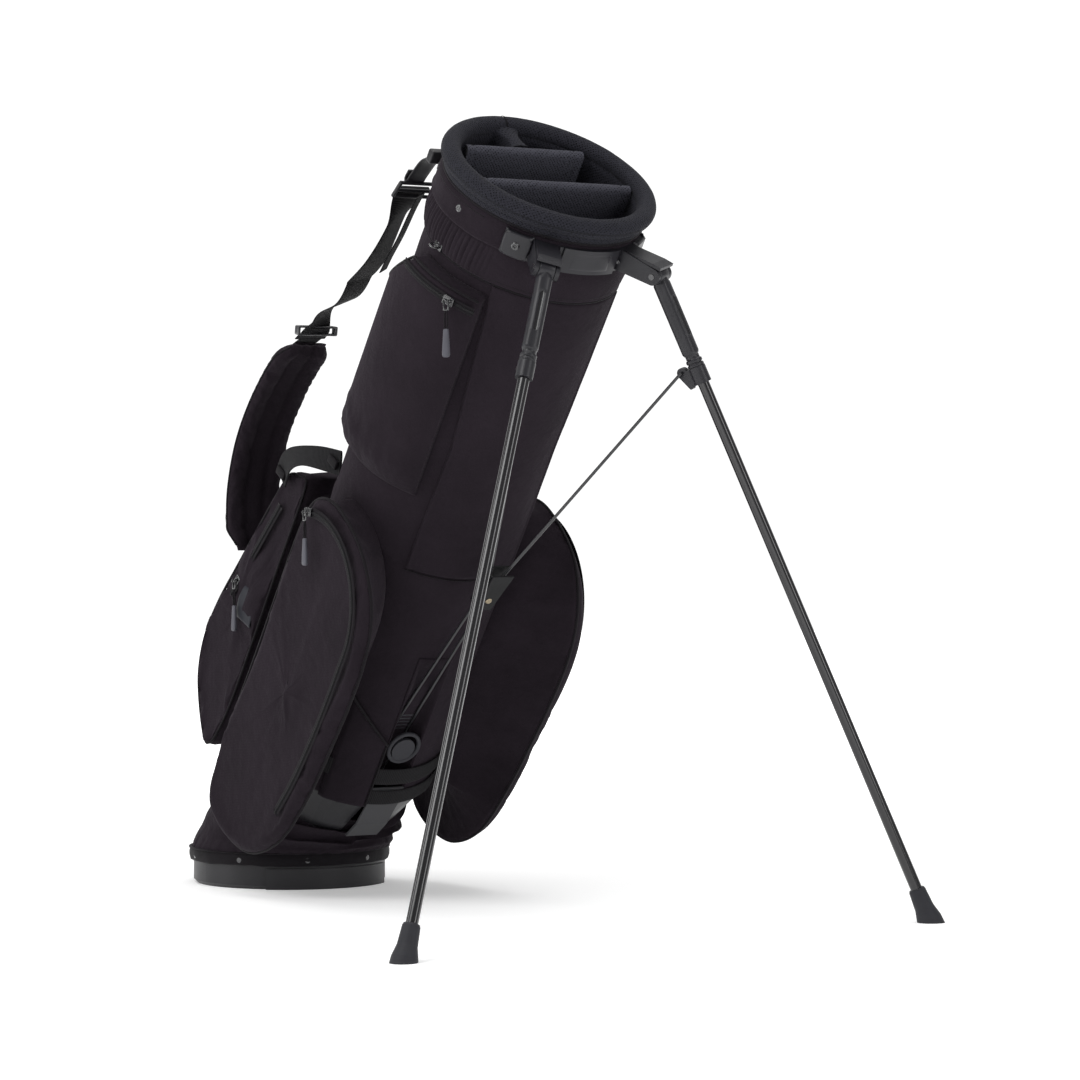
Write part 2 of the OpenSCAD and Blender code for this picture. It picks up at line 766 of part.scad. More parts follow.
module valuables_pull() {
    color(rubber) hang(round_at(valuables_r, valuables_zip_t, valuables_slider_a), valuables_out);
}

// ---- shoulder strap and handle ----

module strap_hook() {
    color(plastic) on_bag() difference() {
        band([[-70, 852], [-104, 838], [-121, 806]], strap_x + 6, 24, 4);
        cylinder(r = collar_r, h = 1000, $fn = 128);
        translate([strap_x, -114, 816]) rotate([0, 90, 0]) cylinder(r = 0.5, h = 1);
    }
}

module ladder_buckle() {
    color(plastic) on_bag() translate([strap_x, -126.5, 796]) rotate([-18, 0, 0]) difference() {
        translate([-24, -2.5, -13]) cube([48, 5, 20]);
        for (z = [-9.5, -1]) translate([-19.5, -4, z]) cube([39, 8, 5]);
    }
}

module strap_webbing() {
    color(webbing) on_bag() band(strap_path, strap_x, strap_w, 3);
}

module shoulder_pad() {
    color(fabric) on_bag() band(pad_path, strap_x - 6, pad_w, pad_t);
}

buckle_at = [-214.4, 570];
strap_last = len(strap_path) - 1;
strap_run = strap_path[strap_last] - strap_path[strap_last - 1];
strap_turn = atan2(-strap_run[0], -strap_run[1]);

module pad_buckle() {
    color(plastic) on_bag() translate([strap_x, buckle_at[0], buckle_at[1]])
        rotate([-strap_turn, 0, 0]) difference() {
            translate([-24.5, -4, -5]) cube([49, 8, 10]);
            translate([-20.5, -2.2, -6]) cube([41, 4.4, 12]);
        }
}

handle_path = [[85, -58, 508], [92, -88, 494], [93, -118, 476], [89, -140, 454], [82, -150, 426]];

module carry_handle() {
    color(webbing) on_bag() difference() {
        for (i = [0 : len(handle_path) - 2]) hull() {
            translate(handle_path[i]) rotate([0, 90, 0])
                cylinder(r = 13, h = 3, center = true, $fn = 32);
            translate(handle_path[i + 1]) rotate([0, 90, 0])
                cylinder(r = 13, h = 3, center = true, $fn = 32);
        }
        cylinder(r = body_r + 0.3, h = 1000, $fn = 128);
    }
}

// ---- legs ----

// x along the leg's pin, y towards the bag, z up along the leg, origin on the pivot
module in_leg() {
    on_bag() multmatrix([
        [pin_axis.x, inward.x, -leg_dir.x, pivot.x],
        [pin_axis.y, inward.y, -leg_dir.y, pivot.y],
        [pin_axis.z, inward.z, -leg_dir.z, pivot.z],
    ]) children();
}

housing_len = 97;
tube_in = 40;
tube_end = 12;

module leg_housing() {
    color(plastic) in_leg() difference() {
        union() {
            rotate([0, 90, 0]) cylinder(r = 9, h = knuckle_w, center = true);
            translate([0, 0, -84]) cylinder(r = 8, h = 80);
            translate([0, 0, -housing_len]) cylinder(r = 7, h = 20);
            for (z = [-92.5, -housing_len]) translate([0, 0, z]) cylinder(r = 8, h = 3);
        }
        rotate([0, 90, 0]) cylinder(r = leg_pin_r + running, h = 30, center = true);
        translate([0, 0, -housing_len - 1]) cylinder(r = leg_r, h = tube_in + 1);
        translate([-3, -9, -68]) cube([6, 2.2, 46]);
    }
}

module leg_tube() {
    color(gloss) in_leg() translate([0, 0, tube_end - leg_len])
        cylinder(r = leg_r, h = leg_len - tube_end - housing_len + tube_in);
}

module foot() {
    color(rubber) intersection() {
        in_leg() translate([0, 0, -leg_len]) difference() {
            rotate_extrude() polygon([
                [0, -8], [13.2, -8], [12.6, 4], [9.6, 16], [8.4, 34], [7.6, 36], [0, 36],
            ]);
            translate([0, 0, tube_end]) cylinder(r = leg_r, h = 60);
        }
        translate([0, 500, 500]) cube([2000, 2000, 1000], center = true);
    }
}

module eye_clamp() {
    fin_t = 6;
    color(plastic) difference() {
        in_leg() union() {
            translate([0, 0, -housing_len - 17]) cylinder(r = 8.6, h = 17);
            translate([-fin_t / 2, 0, -housing_len - 17]) cube([fin_t, 14, 16.7]);
            hull() {
                translate([-fin_t / 2, eye.y, eye.z]) rotate([0, 90, 0])
                    cylinder(r = 5.5, h = fin_t, $fn = 32);
                translate([-fin_t / 2, eye.y - 3.5, -housing_len - 17]) rotate([0, 90, 0])
                    cylinder(r = 2, h = fin_t, $fn = 32);
            }
        }
        in_leg() translate([0, 0, -housing_len - 20]) cylinder(r = leg_r, h = 40);
        on_bag() rod(
            eye_open - eye_axis * 12, eye_open + eye_axis * 12, wire_r + running, ends = false);
    }
}

module upper_wire() {
    bend = eye_open - eye_axis * hook_out;
    head = eye_open + eye_axis * 4.6;
    color(gloss) on_bag() {
        rod(bend, yoke_open, wire_r, ends = false);
        rod(bend, head, wire_r, ends = false);
        translate(bend) sphere(r = wire_r + 0.2);
        rod(head, head + eye_axis, 2.6, ends = false);
        translate(yoke_open) sphere(r = 2.2, $fn = 24);
    }
}

module leg_housing_near() { leg_housing(); }
module leg_housing_far() { far_side() leg_housing(); }
module leg_tube_near() { leg_tube(); }
module leg_tube_far() { far_side() leg_tube(); }
module foot_near() { foot(); }
module foot_far() { far_side() foot(); }
module eye_clamp_near() { eye_clamp(); }
module eye_clamp_far() { far_side() eye_clamp(); }
module upper_wire_near() { upper_wire(); }
module upper_wire_far() { far_side() upper_wire(); }

// ---- lower wire and yoke ----

yoke_turn = atan2(yoke_open.y - bar_open[0], yoke_open.z - bar_open[1]);
yoke_back_gap = 4;                      // room for the wires' balls between the yoke's plates,
yoke_front_gap = 7.4;                   // behind and in front of the lower wire
yoke_plate = 2;
yoke_low = lower_len - 42;              // along the wire from its cross bar
yoke_block_top = lower_len - 18;
yoke_high = lower_len + 9;
wire_end = lower_len - 22;
yoke_rivet_at = lower_len - 28;

// z along the wire from its cross bar to the yoke, y away from the bag
module in_actuator() {
    on_bag() translate([0, bar_open[0], bar_open[1]]) rotate([-yoke_turn, 0, 0]) children();
}

module lower_wire() {
    bar_half = 26.5;
    color(gloss) in_actuator() {
        rod([-bar_half, 0, 0], [bar_half, 0, 0], wire_r, ends = false);
        for (s = [-1, 1]) rod([s * lower_x, 0, 0], [s * lower_top_x, 0, wire_end], wire_r, ends = false);
    }
}

module yoke_half(s) {
    gap = s > 0 ? yoke_front_gap : yoke_back_gap;
    in_actuator() difference() {
        union() {
            translate([0, s > 0 ? gap + yoke_plate : -gap, 0]) rotate([90, 0, 0])
                linear_extrude(yoke_plate) polygon([
                    [-9, yoke_low], [9, yoke_low], [12.5, yoke_high], [-12.5, yoke_high],
                ]);
            translate([-8.5, s > 0 ? 0 : -gap, yoke_low])
                cube([17, gap, yoke_block_top - yoke_low]);
        }
        for (m = [-1, 1]) rod(
            [m * lower_x, 0, 0], [m * lower_top_x, 0, wire_end], wire_r, ends = false);
        translate([0, 0, yoke_rivet_at]) rotate([90, 0, 0])
            cylinder(r = 1.8, h = 40, center = true);
    }
}

module yoke_front() {
    color(plastic) yoke_half(1);
}

module yoke_back() {
    color(plastic) yoke_half(-1);
}

module yoke_rivet() {
    front = yoke_front_gap + yoke_plate;
    back = yoke_back_gap + yoke_plate;
    color(brass) in_actuator() translate([0, 0, yoke_rivet_at]) rotate([90, 0, 0]) {
        translate([0, 0, -front]) cylinder(r = 1.8, h = front + back);
        translate([0, 0, back]) cylinder(r1 = 3.6, r2 = 2.6, h = 1.2, $fn = 32);
        translate([0, 0, -front - 1.2]) cylinder(r1 = 2.6, r2 = 3.6, h = 1.2, $fn = 32);
    }
}

base_cup();
foot_plate();
base_hinge_pin();
hem_band();
hem_rivets();
skirt();
lower_boot();
tube_shell();
body_cover();
tube_floor();
wire_guard();
stay_rods();
collar_ring();
cuff();
divider_front();
divider_rear();
divider_centre();
divider_sheets();
leg_bracket();
bracket_rivets();
leg_pivot_pins();
wire_gland();
front_webbing();
tongue();
ball_pocket();
pocket_patch();
side_pocket_near();
side_pocket_far();
valuables_pocket();
bottle_sleeve();
zip_tracks();
strap_hook();
ladder_buckle();
strap_webbing();
shoulder_pad();
carry_handle();
pad_buckle();
leg_housing_near();
leg_housing_far();
leg_tube_near();
leg_tube_far();
foot_near();
foot_far();
eye_clamp_near();
eye_clamp_far();
upper_wire_near();
upper_wire_far();
lower_wire();
yoke_front();
yoke_back();
yoke_rivet();
side_slider_near();
side_slider_far();
ball_slider();
valuables_slider();
upper_slider();
side_pull_near();
side_pull_far();
ball_pull();
valuables_pull();
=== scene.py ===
"""Golf stand bag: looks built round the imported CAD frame.

Local sizes are in millimetres, in the bag's own upright frame.
"""
import bpy
import json
import math
import numpy as np
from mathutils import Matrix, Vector


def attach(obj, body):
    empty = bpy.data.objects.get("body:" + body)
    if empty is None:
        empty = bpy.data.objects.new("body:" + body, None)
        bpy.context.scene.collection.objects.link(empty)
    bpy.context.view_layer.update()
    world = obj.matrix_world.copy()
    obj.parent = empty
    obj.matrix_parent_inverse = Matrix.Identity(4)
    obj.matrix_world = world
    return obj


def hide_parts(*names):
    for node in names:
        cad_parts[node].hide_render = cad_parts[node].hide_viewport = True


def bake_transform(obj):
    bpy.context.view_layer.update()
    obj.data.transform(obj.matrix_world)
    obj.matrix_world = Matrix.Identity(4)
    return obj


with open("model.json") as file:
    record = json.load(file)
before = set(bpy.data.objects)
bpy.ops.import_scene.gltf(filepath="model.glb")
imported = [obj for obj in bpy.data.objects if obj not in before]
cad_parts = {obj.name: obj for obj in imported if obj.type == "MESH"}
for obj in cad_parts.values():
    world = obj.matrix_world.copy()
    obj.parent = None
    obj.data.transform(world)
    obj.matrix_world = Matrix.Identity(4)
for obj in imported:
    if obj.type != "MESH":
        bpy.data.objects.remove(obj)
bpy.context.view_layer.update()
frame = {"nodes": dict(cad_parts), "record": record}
scene = bpy.context.scene
scene.view_settings.view_transform = "Standard"

LEAN = math.radians(34.1)
CL, SL = math.cos(LEAN), math.sin(LEAN)
BAG_Y = 10.0
R = 100.0


# ---------------------------------------------------------------- camera, light, floor
LOOK = (-0.558226, -0.829648, -0.008176)


def camera():
    data = bpy.data.cameras.new("camera")
    data.lens, data.sensor_width = 129.884, 36.0
    data.clip_start, data.clip_end = 0.05, 60
    ob = bpy.data.objects.new("camera", data)
    scene.collection.objects.link(ob)
    ob.location = (2.14358, 3.67494, 0.40602)
    ob.rotation_mode = "QUATERNION"
    ob.rotation_quaternion = Vector(LOOK).to_track_quat("-Z", "Y")
    scene.camera = ob


def area(name, place, target, size, power, colour=(1, 1, 1)):
    data = bpy.data.lights.new(name, "AREA")
    data.shape, data.size, data.size_y, data.energy, data.color = "RECTANGLE", size[0], size[1], power, colour
    ob = bpy.data.objects.new(name, data)
    scene.collection.objects.link(ob)
    ob.location = place
    ob.rotation_mode = "QUATERNION"
    ob.rotation_quaternion = (Vector(target) - Vector(place)).to_track_quat("-Z", "Y")


FLOOR_GLOW = (0.30, 1.05)      # the floor's own light near the object and far from it
FLOOR_FADE = (0.7, 2.4)        # metres over which one turns into the other
WALL_AT = 9.0                  # the backdrop stands this far behind the object, metres


def glow_mat(name, colour, glow):
    m = bpy.data.materials.new(name)
    m.use_nodes = True
    b = m.node_tree.nodes["Principled BSDF"]
    b.inputs["Base Color"].default_value = (*colour, 1)
    b.inputs["Roughness"].default_value = 0.9
    b.inputs["Specular IOR Level"].default_value = 0.0
    b.inputs["Emission Color"].default_value = (1, 1, 1, 1)
    b.inputs["Emission Strength"].default_value = glow
    return m


def backdrop_piece(name, corners, mat):
    me = bpy.data.meshes.new(name)
    me.from_pydata(corners, [], [(0, 1, 2, 3)])
    ob = bpy.data.objects.new(name, me)
    scene.collection.objects.link(ob)
    me.materials.append(mat)


def studio():
    world = bpy.data.worlds.new("world")
    scene.world = world
    world.use_nodes = True
    bg = world.node_tree.nodes["Background"]
    bg.inputs[0].default_value = (1, 1, 1, 1)
    bg.inputs[1].default_value = 0.32
    area("key", (2.3, 0.9, 2.4), (0, 0.35, 0.4), (1.5, 1.5), 34)
    area("strip", (2.4, -0.9, 1.0), (0, 0.3, 0.4), (0.5, 2.2), 16)
    area("front", (-0.9, 3.0, 1.4), (0, 0.35, 0.35), (0.7, 2.0), 16)
    area("top", (0, 0.3, 3.4), (0, 0.3, 0), (3.0, 3.0), 60)
    floor = glow_mat("floor", (0.86, 0.86, 0.86), 1.0)
    t = floor.node_tree
    co = t.nodes.new("ShaderNodeTexCoord")
    far = t.nodes.new("ShaderNodeVectorMath")
    far.operation = "DISTANCE"
    far.inputs[1].default_value = (0.0, 0.3, 0.0)
    fade = t.nodes.new("ShaderNodeMapRange")
    fade.inputs["From Min"].default_value, fade.inputs["From Max"].default_value = FLOOR_FADE
    fade.inputs["To Min"].default_value, fade.inputs["To Max"].default_value = FLOOR_GLOW
    t.links.new(co.outputs["Object"], far.inputs[0])
    t.links.new(far.outputs["Value"], fade.inputs["Value"])
    t.links.new(fade.outputs["Result"], t.nodes["Principled BSDF"].inputs["Emission Strength"])
    backdrop_piece("floor", [(-14, -14, 0), (14, -14, 0), (14, 14, 0), (-14, 14, 0)], floor)
    look = np.array(LOOK[:2]) / np.linalg.norm(LOOK[:2])
    mid = np.array([0, 0.35]) + look * WALL_AT
    side = np.array([-look[1], look[0]]) * 11
    wall = [(*(mid - side), -0.4), (*(mid + side), -0.4), (*(mid + side), 8.0), (*(mid - side), 8.0)]
    backdrop_piece("wall", wall, glow_mat("wall", (0.0, 0.0, 0.0), 1.1))


# ---------------------------------------------------------------- materials
class Mat:
    """A Principled material with a few procedural layers, all in object or UV coordinates."""

    def __init__(self, name, colour, rough, metallic=0.0, sheen=0.0, spec=0.5, coat=0.0):
        self.m = bpy.data.materials.new(name)
        self.m.use_nodes = True
        self.t = self.m.node_tree
        self.b = self.t.nodes["Principled BSDF"]
        self.colour = colour
        self.rough = rough
        self.set("Base Color", (*colour, 1))
        self.set("Roughness", rough)
        self.set("Metallic", metallic)
        self.set("Sheen Weight", sheen)
        self.set("Sheen Roughness", 0.45)
        self.set("Specular IOR Level", spec)
        self.set("Coat Weight", coat)
        self.set("Coat Roughness", 0.1)
        self.bump = None

    def set(self, k, v):
        self.b.inputs[k].default_value = v

    def node(self, kind, **kw):
        n = self.t.nodes.new(kind)
        for k, v in kw.items():
            if k.startswith("i_"):
                n.inputs[k[2:].replace("_", " ")].default_value = v
            else:
                setattr(n, k, v)
        return n

    def link(self, a, b):
        self.t.links.new(a, b)

    def coords(self, which="Object"):
        key = "co_" + which
        if not hasattr(self, key):
            setattr(self, key, self.node("ShaderNodeTexCoord").outputs[which])
        return getattr(self, key)

    def scaled(self, which, scale, turn=(0, 0, 0)):
        mp = self.node("ShaderNodeMapping")
        mp.inputs["Scale"].default_value = scale
        mp.inputs["Rotation"].default_value = turn
        self.link(self.coords(which), mp.inputs["Vector"])
        return mp.outputs["Vector"]

    def noise(self, scale, detail=4.0, vec=None, rough=0.55):
        n = self.node("ShaderNodeTexNoise", i_Scale=scale, i_Detail=detail, i_Roughness=rough)
        self.link(vec if vec is not None else self.coords(), n.inputs["Vector"])
        return n.outputs["Fac"]

    def ramp(self, fac, stops):
        r = self.node("ShaderNodeValToRGB")
        e = r.color_ramp.elements
        while len(e) < len(stops):
            e.new(0.5)
        for k, (p, c) in zip(e, stops):
            k.position = p
            k.color = (*c, 1) if len(c) == 3 else c
        self.link(fac, r.inputs["Fac"])
        return r.outputs["Color"]

    def grey(self, fac, lo, hi, a=0.0, b=1.0):
        n = self.node("ShaderNodeMapRange")
        n.inputs["From Min"].default_value, n.inputs["From Max"].default_value = a, b
        n.inputs["To Min"].default_value, n.inputs["To Max"].default_value = lo, hi
        self.link(fac, n.inputs["Value"])
        return n.outputs["Result"]

    def math(self, op, a, b):
        n = self.node("ShaderNodeMath", operation=op)
        for i, v in enumerate((a, b)):
            if isinstance(v, (int, float)):
                n.inputs[i].default_value = v
            else:
                self.link(v, n.inputs[i])
        return n.outputs[0]

    def tint(self, fac, spread):
        """Base colour varies by +-spread with a 0..1 pattern."""
        lo = tuple(c * (1 - spread) for c in self.colour)
        hi = tuple(c * (1 + spread) for c in self.colour)
        self.link(self.ramp(fac, [(0.25, lo), (0.75, hi)]), self.b.inputs["Base Color"])

    def roughen(self, fac, spread):
        self.link(self.grey(fac, self.rough - spread, self.rough + spread), self.b.inputs["Roughness"])

    def relief(self, height, distance, strength=1.0):
        n = self.node("ShaderNodeBump")
        n.inputs["Strength"].default_value = strength
        n.inputs["Distance"].default_value = distance
        self.link(height, n.inputs["Height"])
        if self.bump is not None:
            self.link(self.bump.outputs["Normal"], n.inputs["Normal"])
        self.bump = n
        self.link(n.outputs["Normal"], self.b.inputs["Normal"])


def weave(m, pitch, depth):
    """Plain weave from two crossed sets of threads.

    They run along diagonals of the row frame, so that they show on every side.
    """
    w1 = m.node("ShaderNodeTexWave", wave_type="BANDS", bands_direction="DIAGONAL")
    m.link(m.scaled("Object", (1, 1, 1), (0.3, 0.5, 0.2)), w1.inputs["Vector"])
    w2 = m.node("ShaderNodeTexWave", wave_type="BANDS", bands_direction="DIAGONAL")
    m.link(m.scaled("Object", (1, -1, 1), (0.4, -0.3, 0.9)), w2.inputs["Vector"])
    for w in (w1, w2):
        w.inputs["Scale"].default_value = 0.31 / pitch
        w.inputs["Distortion"].default_value = 0.6
        w.inputs["Detail"].default_value = 1.0
        w.inputs["Detail Scale"].default_value = 1.5
    both = m.math("MAXIMUM", w1.outputs["Fac"], w2.outputs["Fac"])
    m.relief(both, depth)
    return both


def cloth_mat(name, colour, sheen=0.035, soft=0.0016, rough=0.88):
    m = Mat(name, colour, rough, sheen=sheen, spec=0.06)
    m.set("Sheen Tint", (0.9, 0.8, 0.92, 1))
    big = m.noise(14, 3)
    fine = m.noise(900, 2)
    m.tint(m.math("ADD", m.math("MULTIPLY", big, 0.55), m.math("MULTIPLY", fine, 0.45)), 0.3)
    m.relief(m.noise(60, 3), soft)
    weave(m, 0.0008, 0.00009)
    return m.m


def net_mat(name, colour, cell=0.0021):
    """Spacer mesh: round holes in a padded knit."""
    m = Mat(name, colour, 0.8, sheen=0.03, spec=0.08)
    v = m.node("ShaderNodeTexVoronoi", feature="F1", i_Scale=1 / cell, i_Randomness=0.25)
    m.link(m.scaled("UV", (1, 1, 1), (0, 0, 0.7)), v.inputs["Vector"])
    hole = m.grey(v.outputs["Distance"], 0, 1, 0.12, 0.42)
    # painted shade: the holes are coloured far darker than the knit, and the knit lighter, to stand for shade
    # inside the holes
    lo = tuple(c * 0.18 for c in colour)
    hi = tuple(c * 1.6 for c in colour)
    m.link(m.ramp(hole, [(0.0, lo), (0.8, hi)]), m.b.inputs["Base Color"])
    m.relief(m.noise(40, 2), 0.001)
    m.relief(hole, 0.0007)
    return m.m


def moulded_mat(name, colour, rough=0.42, grain=0.00004, spec=0.5):
    m = Mat(name, colour, rough, spec=spec)
    m.tint(m.noise(30, 4), 0.12)
    m.roughen(m.noise(70, 5), 0.07)
    m.relief(m.noise(1400, 2), grain)
    return m.m


def gloss_mat(name, colour, rough=0.16, metallic=0.0, spec=0.6, coat=0.4):
    m = Mat(name, colour, rough, metallic=metallic, spec=spec, coat=coat)
    m.tint(m.noise(25, 3), 0.15)
    m.roughen(m.noise(120, 5), 0.04)
    m.relief(m.noise(30, 2), 0.000002)
    return m.m


def rubber_mat(name, colour, rough=0.6):
    m = Mat(name, colour, rough, spec=0.25)
    m.tint(m.noise(45, 4), 0.15)
    m.roughen(m.noise(90, 4), 0.08)
    m.relief(m.noise(800, 3), 0.00006)
    return m.m


def ribbed_mat(name, colour, pitch=0.0021, depth=0.00035, rough=0.75, sheen=0.03):
    """Webbing: ribs across its width, in UV metres."""
    m = Mat(name, colour, rough, sheen=sheen, spec=0.08)
    w = m.node("ShaderNodeTexWave", wave_type="BANDS", bands_direction="Y", i_Scale=0.314 / pitch,
        i_Distortion=0.4)
    m.link(m.coords("UV"), w.inputs["Vector"])
    x = m.node("ShaderNodeTexWave", wave_type="BANDS", bands_direction="X", i_Scale=0.314 / 0.0014,
        i_Distortion=0.6)
    m.link(m.coords("UV"), x.inputs["Vector"])
    both = m.math("ADD", m.math("MULTIPLY", w.outputs["Fac"], 0.7), m.math("MULTIPLY", x.outputs["Fac"], 0.3))
    # painted shade and highlight: the rib grooves are coloured darker and the ridges lighter, following the
    # rib relief
    m.tint(m.math("MULTIPLY", both, 0.8), 0.35)
    m.relief(m.noise(50, 3), 0.0006)
    m.relief(both, depth)
    return m.m


FABRIC = cloth_mat("fabric", (0.0165, 0.0125, 0.0165))
LINING = cloth_mat("lining", (0.012, 0.012, 0.014), sheen=0.2)
NET = net_mat("air_mesh", (0.013, 0.013, 0.017), 0.0027)
NET_IN = net_mat("divider_mesh", (0.034, 0.034, 0.043), 0.0027)
PIPING = ribbed_mat("piping", (0.010, 0.0085, 0.0105), pitch=0.0012, depth=0.0001, rough=0.6)
WEBBING = ribbed_mat("webbing", (0.014, 0.0135, 0.0148))
PLASTIC = moulded_mat("moulded", (0.017, 0.0165, 0.019), spec=0.35)
BRACKET = moulded_mat("bracket", (0.015, 0.0145, 0.018), rough=0.36, spec=0.36)
TROUGH = moulded_mat("trough", (0.007, 0.007, 0.008), rough=0.6, spec=0.2)
TUBE = gloss_mat("tube", (0.006, 0.0055, 0.007), rough=0.15, spec=0.6, coat=0.2)
WIRE = gloss_mat("wire", (0.014, 0.014, 0.016), rough=0.3, spec=0.6, coat=0.15)
RUBBER = rubber_mat("rubber", (0.026, 0.026, 0.031))
PATCH = rubber_mat("patch", (0.012, 0.013, 0.019), rough=0.5)
TAB = rubber_mat("pull_rubber", (0.075, 0.075, 0.09), rough=0.45)
STEEL = gloss_mat("pin", (0.25, 0.25, 0.26), rough=0.3, metallic=1.0, coat=0.0)
SCREW = gloss_mat("screw", (0.030, 0.030, 0.033), rough=0.26, spec=0.7)
ZIP = gloss_mat("zip_coil", (0.005, 0.005, 0.006), rough=0.5, spec=0.2, coat=0.0)
SLIDER = gloss_mat("zip_slider", (0.010, 0.010, 0.012), rough=0.2, spec=0.8, coat=0.5)
BRASS = gloss_mat("brass_rivet", (0.30, 0.25, 0.17), rough=0.35, metallic=0.9, coat=0.0)


# ---------------------------------------------------------------- geometry tools
def to_world(p):
    p = np.asarray(p, float)
    y = BAG_Y + p[:, 1] * CL + p[:, 2] * SL
    return np.stack([p[:, 0], y, -p[:, 1] * SL + p[:, 2] * CL], 1) / 1000


def cyl(a, t, r):
    """Bag coordinates of a point r from the axis, a degrees from the front towards +X, at height t."""
    a = np.radians(np.asarray(a, float))
    t, r = np.broadcast_arrays(np.asarray(t, float), np.asarray(r, float))[0:2]
    a, t, r = np.broadcast_arrays(a, t, r)
    return np.stack([r * np.sin(a), r * np.cos(a), t], -1)


def unit(v):
    v = np.asarray(v, float)
    return v / np.maximum(np.linalg.norm(v, axis=-1, keepdims=True), 1e-9)


def hash3(i, j, k, seed):
    h = (i * 374761393 + j * 668265263 + k * 2147483647 + seed * 1274126177) & 0xFFFFFFFF
    h = ((h ^ (h >> 13)) * 1274126177) & 0xFFFFFFFF
    return ((h ^ (h >> 16)) & 0xFFFF) / 65535.0


def wobble(p, size, seed=1, octaves=3):
    """Smooth noise in -1..1 at points p, with features about size long."""
    p = np.asarray(p, float)
    shape = p.shape[:-1]
    q = p.reshape(-1, 3) / np.asarray(size, float)
    total, amp, norm = 0.0, 1.0, 0.0
    for o in range(octaves):
        f = np.floor(q).astype(np.int64)
        d = q - f
        d = d * d * (3 - 2 * d)
        acc = 0.0
        for a in (0, 1):
            for b in (0, 1):
                for c in (0, 1):
                    w = (d[:, 0] if a else 1 - d[:, 0]) * (d[:, 1] if b else 1 - d[:, 1]) * (d[:, 2] if c
                        else 1 - d[:, 2])
                    acc = acc + w * hash3(f[:, 0] + a, f[:, 1] + b, f[:, 2] + c, seed + o)
        total = total + amp * (acc * 2 - 1)
        norm += amp
        amp *= 0.5
        q = q * 2.03 + 7.1
    return (total / norm).reshape(shape)


def smooth(x, a, b):
    u = np.clip((np.asarray(x, float) - a) / (b - a), 0, 1)
    return u * u * (3 - 2 * u)


def bump(x, centre, width):
    return np.exp(-((np.asarray(x, float) - centre) / width) ** 2)


def grid(nu, nv, loop_u=False, loop_v=False):
    out = []
    for i in range(nu if loop_u else nu - 1):
        for j in range(nv if loop_v else nv - 1):
            a, b = i, (i + 1) % nu
            c, d = j, (j + 1) % nv
            out.append((a * nv + c, b * nv + c, b * nv + d, a * nv + d))
    return out


